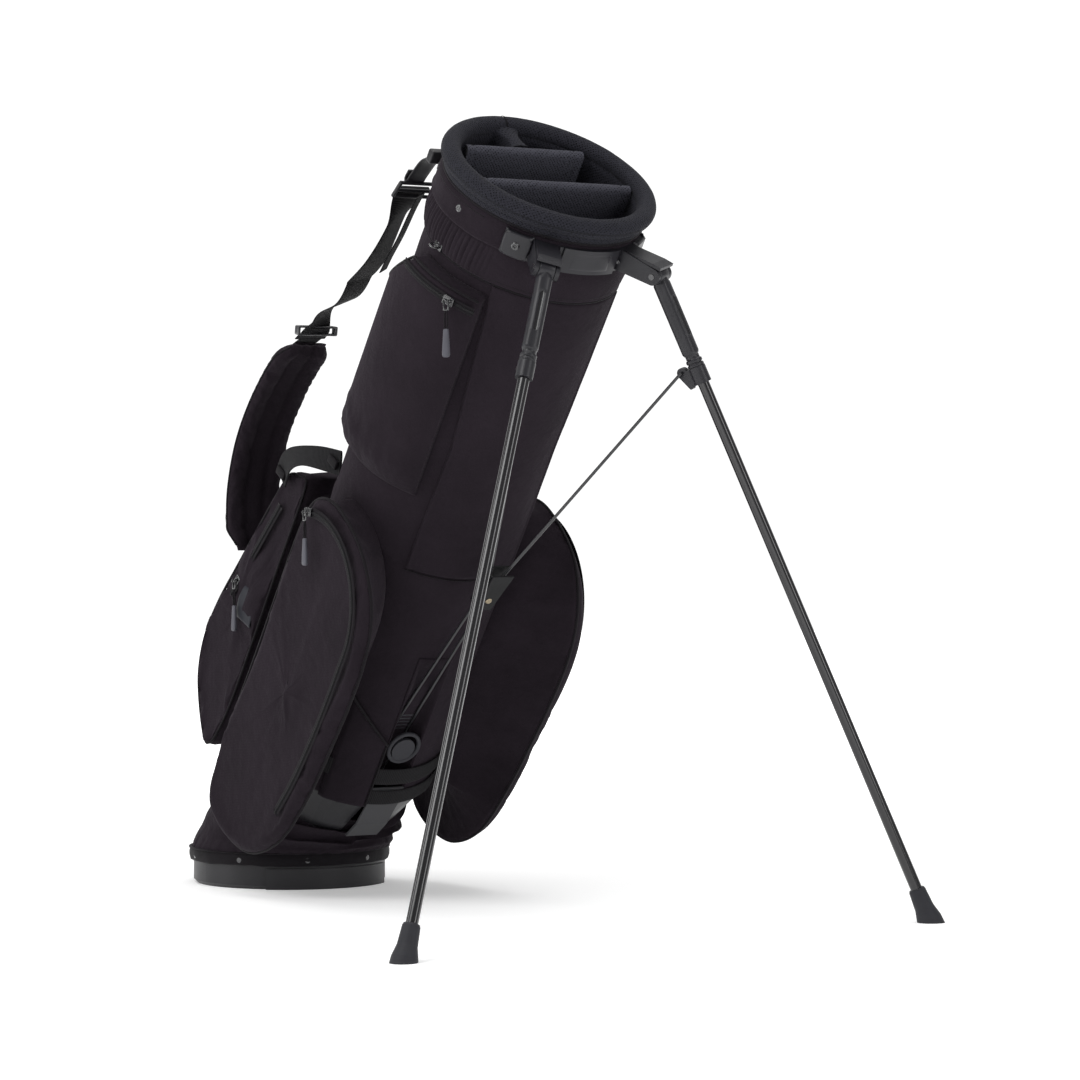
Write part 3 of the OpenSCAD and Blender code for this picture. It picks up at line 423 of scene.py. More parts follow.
class Form:
    """Points in millimetres, faces, and UVs in metres, of one mesh."""

    def __init__(self):
        self.p, self.f, self.uv, self.n = [], [], [], 0

    def add(self, p, f, uv=None):
        p = np.asarray(p, float).reshape(-1, 3)
        self.p.append(p)
        self.f += [tuple(i + self.n for i in q) for q in f]
        self.uv.append(np.zeros((len(p), 2)) if uv is None else np.asarray(uv, float).reshape(-1, 2))
        self.n += len(p)
        return self

    def sheet(self, p, loop_u=False, loop_v=False, flip=False):
        nu, nv = p.shape[:2]
        f = grid(nu, nv, loop_u, loop_v)
        if flip:
            f = [q[::-1] for q in f]
        du = np.concatenate([[0], np.cumsum(np.linalg.norm(np.diff(p[:, nv // 2], axis=0), axis=1))])
        dv = np.concatenate([[0], np.cumsum(np.linalg.norm(np.diff(p[nu // 2], axis=0), axis=1))])
        uv = np.stack(np.meshgrid(du, dv, indexing="ij"), -1) / 1000
        return self.add(p.reshape(-1, 3), f, uv.reshape(-1, 2))

    def tube(self, path, r, sides=8, loop=False, squash=1.0):
        """A round cord along path, with domed ends."""
        path = np.asarray(path, float)
        n = len(path)
        tan = np.roll(path, -1, 0) - np.roll(path, 1, 0) if loop else np.gradient(path, axis=0)
        tan = unit(tan)
        up = np.array([0, 0, 1.0]) if abs(tan[0][2]) < 0.9 else np.array([0, 1.0, 0])
        side = [unit(np.cross(up, tan[0]))]
        for i in range(1, n):
            s = side[-1] - tan[i] * (side[-1] @ tan[i])
            side.append(unit(s))
        side = np.array(side)
        nor = np.cross(tan, side)
        a = np.linspace(0, 2 * math.pi, sides, endpoint=False)
        rr = np.broadcast_to(np.asarray(r, float), (n,))
        ring = side[:, None] * np.cos(a)[None, :, None] + nor[:, None] * (np.sin(a) * squash)[None, :, None]
        p = path[:, None] + ring * rr[:, None, None]
        if loop:
            return self.sheet(p, True, True)
        caps = []
        for end, sgn in ((0, -1), (-1, 1)):
            for k in (0.5, 0.87, 1.0):
                w = math.sqrt(max(0.0, 1 - k * k)) if k < 1 else 0.05
                caps.append(path[end] + ring[end] * rr[end] * w + tan[end] * sgn * rr[end] * k)
        rows = np.concatenate([np.array(caps[:3])[::-1], p, np.array(caps[3:])])
        return self.sheet(rows, False, True)

    def ribbon(self, path, across, width, thick, belly=0.0):
        """A strap: path of its middle, across its unit width direction, with rounded edges."""
        path = np.asarray(path, float)
        n = len(path)
        across = np.broadcast_to(unit(across), (n, 3))
        tan = unit(np.gradient(path, axis=0))
        across = unit(across - tan * np.sum(across * tan, 1)[:, None])
        out = np.cross(tan, across)
        w = np.broadcast_to(np.asarray(width, float), (n,))
        th = np.broadcast_to(np.asarray(thick, float), (n,))
        us = [-1, -0.97, -0.9, -0.5, 0, 0.5, 0.9, 0.97, 1]
        prof = [(u, 0.5 * (1 - abs(u) ** 14) ** 0.5) for u in us] + [(u, -0.5 * (1 - abs(u) ** 14) ** 0.5)
            for u in us[::-1][1:-1]]
        rows, uvs = [], []
        length = np.concatenate([[0], np.cumsum(np.linalg.norm(np.diff(path, axis=0), axis=1))])
        for u, h in prof:
            rows.append(path + across * (u * w / 2)[:, None] + out * (h * th + belly * (1 - u * u))[:, None])
            uvs.append(np.stack([u * w / 2, length], 1))
        p = np.stack(rows, 1)
        uv = np.stack(uvs, 1) / 1000
        m = len(prof)
        f = grid(n, m, False, True)
        f.append(tuple(range(m))[::-1])
        f.append(tuple((n - 1) * m + i for i in range(m)))
        return self.add(p, f, uv)

    def brick(self, centre, half, r, frame3=None, seg=3, shape=None):
        """A box with rounded edges. frame3 holds its three axes as rows."""
        half = np.asarray(half, float)
        k = np.linspace(-1, 1, 2 * seg + 2)
        base = []
        faces = []
        count = 0
        m = len(k)
        for ax in range(3):
            for sg in (-1, 1):
                u, v = np.meshgrid(k, k, indexing="ij")
                q = np.zeros((m, m, 3))
                q[..., ax] = sg
                q[..., (ax + 1) % 3] = u
                q[..., (ax + 2) % 3] = v
                base.append(q.reshape(-1, 3))
                fs = grid(m, m)
                if sg < 0:
                    fs = [x[::-1] for x in fs]
                faces += [tuple(i + count for i in x) for x in fs]
                count += m * m
        q = np.concatenate(base)
        core = np.sign(q) * np.maximum(half - r, 0)
        d = np.where(np.abs(q) >= 1 - 1e-9, np.sign(q), 0.0)
        mid = (np.abs(q) < 1 - 1e-9)
        t = np.abs(q) * mid
        edge = np.where(mid, np.sign(q) * np.clip(t, 0, 1) ** 3, d)
        nrm = unit(edge)
        p = np.where(mid & (t < 0.3), q * np.maximum(half - r, 0), core) + nrm * r
        if shape is not None:
            p = shape(p)
        if frame3 is not None:
            p = p @ np.asarray(frame3, float)
        return self.add(p + np.asarray(centre, float), faces)

    def lathe(self, profile, centre=(0, 0, 0), axis=(0, 0, 1), n=32):
        """profile: (radius, height) pairs, turned about an axis through centre."""
        ax = unit(axis)
        s = unit(np.cross(ax, [0.3, 0.5, 0.81] if abs(ax[2]) > 0.9 else [0, 0, 1]))
        t = np.cross(ax, s)
        a = np.linspace(0, 2 * math.pi, n, endpoint=False)
        ring = s[None] * np.cos(a)[:, None] + t[None] * np.sin(a)[:, None]
        p = np.stack([np.asarray(centre) + ring * max(r, 0.01) + ax * h for r, h in profile], 1)
        return self.sheet(p, True, False)

    def make(self, name, mat, slot, body, replaces=(), local=True, soft=True, weld=False, thick=0.0,
            inwards=True, sub=0):
        p = np.concatenate(self.p)
        v = to_world(p) if local else p / 1000
        me = bpy.data.meshes.new(name)
        me.from_pydata(v.tolist(), [], self.f)
        uv = np.concatenate(self.uv)
        layer = me.uv_layers.new(name="UVMap")
        idx = np.zeros(len(me.loops), np.int32)
        me.loops.foreach_get("vertex_index", idx)
        layer.data.foreach_set("uv", uv[idx].astype(np.float32).ravel())
        me.polygons.foreach_set("use_smooth", [soft] * len(me.polygons))
        me.materials.append(mat)
        me.update()
        ob = bpy.data.objects.new(name, me)
        scene.collection.objects.link(ob)
        bpy.context.view_layer.objects.active = ob
        if weld:
            md = ob.modifiers.new("weld", "WELD")
            md.merge_threshold = 0.00002
            apply(ob)
        if thick:
            md = ob.modifiers.new("thick", "SOLIDIFY")
            md.thickness, md.offset = thick / 1000, -1.0 if inwards else 1.0
            apply(ob)
        if sub:
            md = ob.modifiers.new("sub", "SUBSURF")
            md.levels = md.render_levels = sub
            apply(ob)
        if body:
            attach(ob, body)
        if replaces:
            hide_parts(*replaces)
        return ob


def apply(ob):
    dg = bpy.context.evaluated_depsgraph_get()
    ev = ob.evaluated_get(dg)
    me = bpy.data.meshes.new_from_object(ev, depsgraph=dg)
    old = ob.data
    ob.modifiers.clear()
    ob.data = me
    me.name = old.name


def settle(ob, pins, pressure=2.0, extra=0.0, frames=14, cap=0.006, stiff=12.0, bend=0.3):
    """Cloth simulation with the seams held, applied to the mesh.

    extra is how much longer the cloth is than its place.
    """
    me = ob.data
    n = len(me.vertices)
    before = np.zeros(n * 3)
    me.vertices.foreach_get("co", before)
    before = before.reshape(-1, 3)
    g = ob.vertex_groups.new(name="pin")
    g.add([int(i) for i in pins], 1.0, "REPLACE")
    md = ob.modifiers.new("cloth", "CLOTH")
    s = md.settings
    s.quality = 5
    s.mass = 0.3
    s.tension_stiffness = s.compression_stiffness = stiff
    s.shear_stiffness = stiff / 2
    s.bending_stiffness = bend
    s.tension_damping = s.compression_damping = s.shear_damping = 12
    s.bending_damping = 1.0
    s.air_damping = 3
    s.vertex_group_mass = "pin"
    s.pin_stiffness = 1.0
    s.use_pressure = pressure > 0
    s.uniform_pressure_force = pressure
    s.shrink_min = -extra
    s.effector_weights.gravity = 0
    md.collision_settings.use_collision = False
    md.collision_settings.use_self_collision = False
    for k in range(1, frames + 1):
        scene.frame_set(k)
    dg = bpy.context.evaluated_depsgraph_get()
    ev = ob.evaluated_get(dg)
    after = np.zeros(n * 3)
    ev.to_mesh().vertices.foreach_get("co", after)
    ev.to_mesh_clear()
    after = after.reshape(-1, 3)
    ob.modifiers.clear()
    ob.vertex_groups.clear()
    d = after - before
    far = np.linalg.norm(d, axis=1, keepdims=True)
    ok = np.isfinite(far) & (far < 0.2)
    d = np.where(ok, d * np.minimum(1, cap / np.maximum(far, 1e-9)), 0)
    me.vertices.foreach_set("co", (before + d).ravel())
    me.update()
    scene.frame_set(1)


def arc(a0, a1, t, r, n=40):
    return cyl(np.linspace(a0, a1, n), t, r)


def smooth_path(pts, n, loop=False):
    """Catmull-Rom through the points, n samples in all, evenly spread."""
    p = np.asarray(pts, float)
    m = len(p)
    idx = range(m if loop else m - 1)
    out = []
    for i in idx:
        a, b, c, d = [p[j % m] if loop else p[min(max(j, 0), m - 1)] for j in (i - 1, i, i + 1, i + 2)]
        for u in np.linspace(0, 1, 16, endpoint=False):
            out.append(0.5 * (2 * b + (c - a) * u + (2 * a - 5 * b + 4 * c - d) * u * u
                + (3 * b - a - 3 * c + d) * u ** 3))
    if not loop:
        out.append(p[-1])
    out = np.array(out)
    ends = np.vstack([out, out[:1]]) if loop else out
    s = np.concatenate([[0], np.cumsum(np.linalg.norm(np.diff(ends, axis=0), axis=1))])
    q = np.linspace(0, s[-1], n, endpoint=not loop)
    return np.stack([np.interp(q, s, ends[:, k]) for k in range(p.shape[1])], 1)


def far_side(p):
    return np.asarray(p, float) * np.array([-1, 1, 1.0])


# ---------------------------------------------------------------- body, collar, mouth
SLOT_A = math.degrees(math.asin(0.2))
SLOT_TOP = 368.0


def skin_lift(p, a, t):
    """How far the body's cloth stands off its tube."""
    q = p / np.array([1.0, 1.0, 2.6])
    lift = 0.7 * wobble(q, 60, 3) + 0.35 * wobble(p, 22, 9)
    low = 1 - smooth(t, 215, 330)
    lift += low * 1.2 * wobble(p * np.array([1, 1, 0.25]), 26, 17)
    lift -= bump(t, 470, 2.2) * smooth(np.abs(a), 0, 2) * (np.abs(a) < 60)
    lift += 0.8 * bump(t, 478, 6)
    return lift


def body_cloth():
    a = np.concatenate([np.linspace(-180, -SLOT_A, 110), np.linspace(-SLOT_A, SLOT_A, 13)[1:-1],
        np.linspace(SLOT_A, 180, 110)])[:-1]
    t = np.concatenate([np.linspace(184, SLOT_TOP, 44), np.linspace(SLOT_TOP, 808, 96)[1:]])
    A, T = np.meshgrid(a, t, indexing="ij")
    p = cyl(A, T, R - 0.6)
    lift = skin_lift(p, A, T)
    edge = (1 - smooth(np.abs(np.abs(A) - SLOT_A), 0, 4)) * (T < SLOT_TOP + 4)
    p = cyl(A, T, R - 0.6 + lift * (1 - edge))
    f = Form()
    nu, nv = p.shape[:2]
    faces = [q for q in grid(nu, nv, True, False)]
    keep = []
    for q in faces:
        i, j = divmod(q[0], nv)
        mid_a = (a[i] + (a[(i + 1) % nu] if i + 1 < nu else 180)) / 2
        mid_t = (t[j] + t[j + 1]) / 2
        if abs(mid_a) < SLOT_A and mid_t < SLOT_TOP:
            continue
        keep.append(q)
    arcs = np.radians(A) * 0.1
    f.add(p.reshape(-1, 3), keep, np.stack([arcs, T / 1000], -1).reshape(-1, 2))
    f.make("body_cloth", FABRIC, "body_fabric", "bag", ["body_cover"], thick=1.2, inwards=False)
    # gathered band under the collar
    a = np.linspace(-180, 180, 721)[:-1]
    t = np.linspace(800, 840, 16)
    A, T = np.meshgrid(a, t, indexing="ij")
    u = (T - 800) / 40
    full = smooth(np.abs(A), 46, 66)
    drift = 5 * wobble(np.stack([A * 0, A * 0, A], -1), 40, 5)
    ribs = np.sin(2 * math.pi * (A + drift * 0.3 + 2.0 * (u - 0.5)) / 3.1) + 0.5 * np.sin(2 * math.pi
        * A / 5.3 + 1.3)
    r = R + 0.6 + (1.2 + 2.6 * full) * np.sin(math.pi
        * np.clip(u, 0, 1)) ** 0.7 + full * 0.95 * ribs * np.sin(math.pi * u) ** 0.5
    f = Form().sheet(cyl(A, T, r), True, False)
    f.make("gathered_band", FABRIC, "body_fabric", "bag", thick=1.0, inwards=True)
    # seams
    f = Form()
    for tt in (799.5, 804.0):
        f.tube(arc(-46, 46, tt, R + 1.1, 60), 1.15)
    f.tube(arc(48, 312, 799.0, R + 1.0, 140), 1.1)
    f.make("body_piping", PIPING, "body_fabric", "bag")
    f = Form()
    f.tube(arc(-38, 39, 469, R + 0.5, 60), 0.55, 6)
    f.make("body_seam", PIPING, "body_fabric", "bag")


def panel_edge(t):
    return np.interp(t, [470, 482, 616, 783, 798], [38.5, 39, 37.5, 46, 46.5])


def front_panel():
    t = np.linspace(472, 798, 90)
    s = np.concatenate([[-1], np.linspace(-0.995, -0.95, 5), np.linspace(-0.93, 0.93, 60),
        np.linspace(0.95, 0.995, 5), [1]])
    S, T = np.meshgrid(s, t, indexing="ij")
    A = S * panel_edge(T)
    p = cyl(A, T, R)
    lift = 1.1 * wobble(p / np.array([1, 1, 3.0]), 55, 23) + 0.5 * wobble(p, 30, 31)
    side = np.abs(S)
    r = R + 1.6 + lift * 0.6 + 1.5 * bump(side, 0.965, 0.03) - 2.6 * smooth(side, 0.985, 1.0)
    r = np.maximum(r, R - 0.8)
    Form().sheet(cyl(A, T, r), flip=True).make("front_panel", FABRIC, "body_fabric", "bag", thick=1.0,
        inwards=True)


def collar():
    a = np.linspace(-180, 180, 181)[:-1]
    prof = [(104.5, 838.6), (105.6, 838.0), (106.2, 839.5), (105.2, 842), (105.0, 848), (105.2, 856),
        (104.6, 862), (102.2, 866.5), (99.0, 867.5)]
    front = 1 - smooth(np.abs(a), 50, 66)
    P = []
    for r, t in prof:
        rr = r - front * 1.8
        w = 0.5 * wobble(cyl(a, t, 100.0), 30, 41) * (1 - front)
        P.append(cyl(a, t, rr + w))
    Form().sheet(np.stack(P, 1), True, False).make("collar_cloth", FABRIC, "body_fabric", "bag",
        ["collar_ring"], thick=1.0)
    f = Form()
    f.tube(arc(-180, 180, 866.8, 103.0, 160)[:-1], 1.5, 8, loop=True)
    f.tube(arc(63, 297, 861.0, 105.4, 120), 0.7, 6)
    f.make("collar_piping", PIPING, "body_fabric", "bag")
    f = Form()
    for ang in (80, -80, 128, -128):
        c = cyl(ang, 853, 105.0)
        f.lathe([(0.01, 2.0), (1.4, 2.0), (1.6, 1.5), (2.0, 1.4), (2.6, 2.0), (3.6, 1.6), (4.2, 0.6),
            (4.3, -0.8)], c, cyl(ang, 0, 1), 24)
    f.make("collar_studs", SCREW, "rivet_metal", "bag")


ROLL_R, ROLL, ROLL_T = 101.0, 10.0, 883.0     # the rim roll: ring radius, section radius, height
MOUTH = ROLL_R - ROLL                          # inner radius of the mouth
BAR_TOP = 885.0


def cuff():
    n, m = 220, 32
    a = np.linspace(-180, 180, n, endpoint=False)
    b = np.linspace(0, 2 * math.pi, m, endpoint=False)
    A, B = np.meshgrid(a, b, indexing="ij")
    soft = 0.35 * wobble(cyl(A, ROLL_T + ROLL * np.sin(B), ROLL_R + ROLL * np.cos(B)), 24, 51)
    rear = bump(np.abs(np.abs(A) - 180), 0, 1.0)
    rr = ROLL - 0.2 + soft - 0.7 * rear
    p = cyl(A, ROLL_T + rr * np.sin(B), ROLL_R + rr * np.cos(B))
    f = Form()
    uv = np.stack([np.radians(A) * ROLL_R / 1000, B * ROLL / 1000], -1).reshape(-1, 2)
    f.add(p.reshape(-1, 3), grid(n, m, True, True), uv)
    foot = [(95.6, 866.3), (95.8, 871), (96.4, 877), (106.0, 877), (104.8, 871), (103.2, 866.3)]
    f.sheet(np.stack([cyl(a, t, r) for r, t in foot], 1), True, True)
    f.make("rim_cuff", NET, "mesh_padding", "bag", ["cuff"])
    # lining below the rim, inside
    a = np.linspace(-180, 180, 121)[:-1]
    P = [cyl(a, t, r) for r, t in ((92.6, 878), (93.2, 870), (93.6, 856), (94.0, 838), (94.3, 818),
        (94.5, 800))]
    Form().sheet(np.stack(P, 1), True, False, flip=True).make("mouth_lining", NET, "mesh_padding", "bag",
        thick=0.4, inwards=False)
    f = Form()
    b = np.linspace(-0.5, 3.0, 26)
    f.tube(cyl(180, ROLL_T + (ROLL - 0.1) * np.sin(b), ROLL_R + (ROLL - 0.1) * np.cos(b)), 0.45, 6)
    f.make("cuff_stitch", PIPING, "mesh_padding", "bag")


def divider(name, v, node, seed):
    half = math.sqrt(MOUTH ** 2 - (abs(v) + 6.5) ** 2) - 0.6
    n = 60
    x = np.linspace(-half, half, n)
    prof = []
    for k in np.linspace(0, math.pi, 13):
        prof.append((6.5 * math.cos(k), BAR_TOP - 6.5 + 6.5 * math.sin(k)))
    prof = [(6.2, 806.0), (6.4, 830.0), (6.5, 855.0)] + prof + [(-6.5, 855.0), (-6.4, 830.0), (-6.2, 806.0)]
    pr = np.array(prof)
    X, K = np.meshgrid(x, np.arange(len(pr)), indexing="ij")
    dv, tt = pr[K, 0], pr[K, 1]
    end = np.minimum(X + half, half - X)
    pinch = 1 - 0.28 * bump(end, 9.5, 1.4) - 0.12 * np.exp(-end / 3)
    puff = 0.5 * wobble(np.stack([X, dv, tt], -1), 20, seed)
    dip = -1.6 * np.exp(-((X) / 30.0) ** 2) * 0
    tt2 = np.where(tt > 866, 866 + (tt - 866) * (1 - 0.05 * bump(end, 9.5, 1.6)), tt)
    p = np.stack([X, v + dv * pinch + np.sign(dv) * puff * 0.5, tt2 + dip + puff * 0.3 * (tt > 870)], -1)
    f = Form()
    f.sheet(p, flip=True)
    for i in (0, n - 1):
        k = [i * len(pr) + j for j in range(len(pr))]
        f.f.append(tuple(k if i == 0 else k[::-1]))
    f.f.append(tuple([i * len(pr) for i in range(n)] + [i * len(pr) + len(pr) - 1 for i in range(n)][::-1]))
    f.make(name, NET_IN, "mesh_padding", "bag", [node])


def centre_divider():
    """The short rear divider: wide where it joins the rim, so that two round holes are left."""
    y0, y1 = -MOUTH - 3.0, -58.8
    k = np.linspace(0, math.pi, 13)
    pr = np.array([(1.0, 806), (1.0, 850)] + [(math.cos(j), BAR_TOP - 5 + 5 * math.sin(j)) for j in k]
        + [(-1.0, 850), (-1.0, 806)])
    v = np.linspace(y0, y1, 22)
    V, K = np.meshgrid(v, np.arange(len(pr)), indexing="ij")
    half = 7.5 + 11 * np.exp(-(V - y0) / 7.0) + 5 * np.exp(-(y1 - V) / 4.5)
    p = np.stack([pr[K, 0] * half, V, pr[K, 1] + np.where(pr[K, 1] > 860, 2.5 * np.exp(-(V - y0) / 8.0),
        0)], -1)
    f = Form().sheet(p)
    n = len(v)
    for i in (0, n - 1):
        q = [i * len(pr) + j for j in range(len(pr))]
        f.f.append(tuple(q[::-1] if i == 0 else q))
    f.f.append(tuple([i * len(pr) for i in range(n)][::-1] + [i * len(pr) + len(pr) - 1 for i in range(n)]))
    f.make("centre_pad", NET, "mesh_padding", "bag", ["divider_centre"])


# ---------------------------------------------------------------- pockets
def zip_on(path, outward, f_tape, f_coil, width=9.0):
    """Zip tapes and coil along path."""
    path = np.asarray(path, float)
    out = np.broadcast_to(unit(outward), path.shape)
    tan = unit(np.gradient(path, axis=0))
    across = np.cross(out, tan)
    f_tape.ribbon(path + out * 0.3, across, width, 0.7)
    length = np.concatenate([[0], np.cumsum(np.linalg.norm(np.diff(path, axis=0), axis=1))])
    m = max(int(length[-1] / 0.45), 12)
    q = np.linspace(0, length[-1], m)
    fine = np.stack([np.interp(q, length, path[:, k]) for k in range(3)], 1)
    fo = np.stack([np.interp(q, length, out[:, k]) for k in range(3)], 1)
    f_coil.tube(fine + fo * 0.55, 1.35 + 0.22 * np.sign(np.sin(2 * math.pi * q / 1.5)), 6)


SIDE_OUT = [(18, 506), (58, 503), (95, 490), (124, 465), (141, 434), (148, 395), (147, 345), (142, 290),
    (135, 232),
            (122, 172), (104, 136), (76, 108), (46, 96), (18, 93), (-8, 98), (-24, 116), (-33, 160), (-32,
                220),
            (-29, 290), (-28, 360), (-27, 430), (-22, 474), (-8, 496)]


def mirrored(f):
    f.p = [far_side(p) for p in f.p]
    f.f = [q[::-1] for q in f.f]


SIDE_ZIP_X, SIDE_ZIP_R = 138.0, 92
SIDE_ZIP_V, SIDE_ZIP_T = 40, 402              # middle of the side zip's upper bend
VALUABLES_ZIP_T, VALUABLES_ZIP_R = 772, 120
UPPER_ZIP_T = 803


def side_zip_point(ang):
    return [SIDE_ZIP_V + SIDE_ZIP_R * np.sin(ang), SIDE_ZIP_T + SIDE_ZIP_R * np.cos(ang)]


def side_pocket(side):
    sg = 1 if side == "near" else -1
    n = 180
    rim = smooth_path(SIDE_OUT, n, loop=True)
    c = np.array([52.0, 300.0])
    rel = rim - c
    dist = np.linalg.norm(rel, axis=1)
    depth = np.array([0, 0.8, 1.8, 3.2, 5.2, 8, 12, 17, 24, 33, 44])
    share = np.array([1.0, 0.8, 0.6, 0.42, 0.28, 0.15, 0.06])
    x_rim = 124.0 + 2.0 * smooth(rim[:, 1], 150, 480) - 3.0 * smooth(rim[:, 0], 90, 148)
    rows, xs = [], []
    for d in depth:
        s = 1 - d / dist
        rows.append(c + rel * s[:, None])
        xs.append(x_rim + (137.6 - x_rim) * (1 - (1 - np.clip(d / 15.0, 0, 1)) ** 2.4))
    last = rows[-1] - c
    for k in share[1:]:
        rows.append(c + last * k)
        xs.append(np.full(n, 137.6))
    face = np.stack([np.concatenate([xs[i][:, None], rows[i]], 1) for i in range(len(rows))], 1)
    v, t = face[..., 1], face[..., 2]
    into = 1 - np.exp(-np.linalg.norm(face[..., 1:] - rim[:, None], axis=-1) / 14)
    seed = 61 if sg > 0 else 67
    folds = wobble(np.stack([v * 0, v / 15 + 0.0012 * t * (v - 50) / 15, t / 190], -1), 1.0, seed)
    dents = wobble(np.stack([v * 0, v, t * 0.6], -1), 34, seed + 5)
    x = face[..., 0] + into * (1.2 * folds + 0.9 * dents - 1.2)
    face = np.stack([x, v, t], -1)
    f = Form().sheet(face, True, False)
    k = face.shape[1]
    f.add([[np.mean(face[:, -1, 0]), c[0] + np.mean(last[:, 0] * share[-1]), c[1]]], [])
    hub = n * k
    f.f += [((i + 1) % n * k + k - 1, i * k + k - 1, hub)[::-1] for i in range(n)]
    # side wall back to the body
    root_v = rim[:, 0] * 0.5
    root = np.stack([np.sqrt(np.maximum(99.0 ** 2 - root_v ** 2, 0)), root_v, np.maximum(rim[:, 1], 192)], 1)
    edge = np.concatenate([x_rim[:, None], rim], 1)
    wall = []
    steps = np.array([0, 0.02, 0.06, 0.12, 0.22, 0.34, 0.47, 0.6, 0.73, 0.86, 1.0])
    out = unit(np.concatenate([np.zeros((n, 1)), rel], 1))
    for u in steps:
        q = edge * (1 - u) + root * u
        w = wobble(np.stack([q[:, 0] * 0.5, q[:, 1], q[:, 2] * 0.5], -1), 26, seed + 11)
        q = q + out * ((2.2 * w - 1.0) * math.sin(math.pi * u) - 2.5
            * math.sin(math.pi * min(u * 1.3, 1)))[:, None]
        wall.append(q)
    wall = np.stack(wall, 1)
    f.sheet(wall, True, False, flip=True)
    if sg < 0:
        mirrored(f)
    ob = f.make("side_pocket_cloth_" + side, FABRIC, "body_fabric", "bag", ["side_pocket_" + side], weld=True)
    me = ob.data
    co = np.zeros(len(me.vertices) * 3)
    me.vertices.foreach_get("co", co)
    co = co.reshape(-1, 3)
    key = to_world(far_side(edge) if sg < 0 else edge)
    key2 = to_world(far_side(root) if sg < 0 else root)
    pins = [i for i, q in enumerate(co) if np.min(np.abs(key - q).max(1)) < 3e-4
        or np.min(np.abs(key2 - q).max(1)) < 3e-4]
    settle(ob, pins, pressure=1.6, extra=0.012, frames=14, cap=0.004)
    # piping round the face, and the zip down its front edge
    g = Form()
    g.tube(np.concatenate([x_rim[:, None] + 0.6, c + rel * (1 + 0.6 / dist)[:, None]], 1), 1.6, 8, loop=True)
    g2, g3 = Form(), Form()
    ang = np.radians(np.linspace(-34, 88, 60))
    zp = np.stack([np.full(60, SIDE_ZIP_X), *side_zip_point(ang)], 1)
    tail = np.array([(138.0, 131.6, 380), (137.6, 130.5, 340), (137.0, 127, 290), (136.6, 120, 235),
        (136, 109, 186)])
    zp = np.concatenate([zp, smooth_path(tail, 40)])
    zip_on(zp + np.array([0.1, 0, 0]), (1, 0, 0), g2, g3, 10.0)
    for h in (g, g2, g3):
        if sg < 0:
            mirrored(h)
    g.make("side_piping_" + side, PIPING, "body_fabric", "bag")
    g2.make("side_zip_tape_" + side, PIPING, "zip_tape", "bag", ["zip_tracks"])
    g3.make("side_zip_coil_" + side, ZIP, "zip_tape", "bag")


def valuables_top(a):
    """Height of the pocket's upper edge, which falls away towards the rear."""
    v = (R + 20) * np.cos(np.radians(a))
    return 786 - 0.81 * np.maximum(-8 - v, 0) ** 1.03


def valuables():
    a0, a1, t0 = 46.0, 126.0, 548.0
    ua = np.concatenate([[0], np.linspace(0.01, 0.06, 6), np.linspace(0.08, 0.92, 60),
        np.linspace(0.94, 0.99, 6), [1]])
    ut = np.concatenate([np.linspace(0, 0.3, 44), np.linspace(0.31, 0.9, 50), np.linspace(0.91, 1, 16)])
    U, V = np.meshgrid(ua, ut, indexing="ij")
    A = a0 + 1.5 + (a1 - a0 - 1.5) * U
    T = t0 + (valuables_top(A) - t0) * V - 10 * (1 - V) * (U - 0.3)
    rise = np.clip(V / 0.16, 0, 1)
    h = 19.0 * (1 - (1 - rise) ** 2.2)
    h = h * (1 - np.clip((V - 0.955) / 0.045, 0, 1) ** 2.4 * 0.97)
    edge = (1 - np.abs(2 * U - 1) ** 9) ** 0.5
    p = cyl(A, T, R + 10)
    crease = wobble(np.stack([A / 9 + T / 45, A / 9 - T / 60, T / 90], -1), 1.0, 77)
    low = 1 - smooth(V, 0.06, 0.42)
    lift = 0.8 * wobble(p / np.array([1, 1, 2.4]), 45, 71) + low * 2.6 * crease * smooth(V, 0.0, 0.05)
    lift += low * 2.2 * bump(V, 0.2 + 0.06 * np.sin(9 * U), 0.035)
    h = np.maximum(h * edge + lift * edge * smooth(V, 0, 0.06), 0.3)
    h = np.where(V > 0.9, np.minimum(h, 20.0), h)
    Form().sheet(cyl(A, T, R + h), flip=True).make("valuables_cloth", FABRIC, "body_fabric", "bag",
        ["valuables_pocket"], thick=0.8, inwards=True)
    f, g, z = Form(), Form(), Form()
    tt = np.linspace(556, valuables_top(125.0) - 9, 60)
    path = cyl(125.0 + 0 * tt, tt, R + 14)
    ang = np.linspace(123.5, 49, 60)
    top = cyl(ang, valuables_top(ang) - 3.5, R + 16.2)
    f.tube(np.concatenate([path, top]), 1.5, 8)
    zip_on(arc(49, 98, VALUABLES_ZIP_T, VALUABLES_ZIP_R, 80), cyl(np.linspace(49, 98, 80), 0, 1), g, z, 9.0)
    f.make("valuables_piping", PIPING, "body_fabric", "bag")
    g.make("valuables_zip_tape", PIPING, "zip_tape", "bag")
    z.make("valuables_zip_coil", ZIP, "zip_tape", "bag")
    g, z = Form(), Form()
    zip_on(arc(44, 92, UPPER_ZIP_T, 100.1, 60), cyl(np.linspace(44, 92, 60), 0, 1), g, z, 9.0)
    g.make("upper_zip_tape", PIPING, "zip_tape", "bag")
    z.make("upper_zip_coil", ZIP, "zip_tape", "bag")


BALL = [(-112, 444), (-128, 446), (-146, 438), (-158, 402), (-171, 350), (-185, 292), (-198, 236),
    (-202, 186), (-192, 146),
        (-172, 118), (-146, 94), (-133, 88), (-122, 104), (-114, 150), (-112, 220), (-112, 330)]


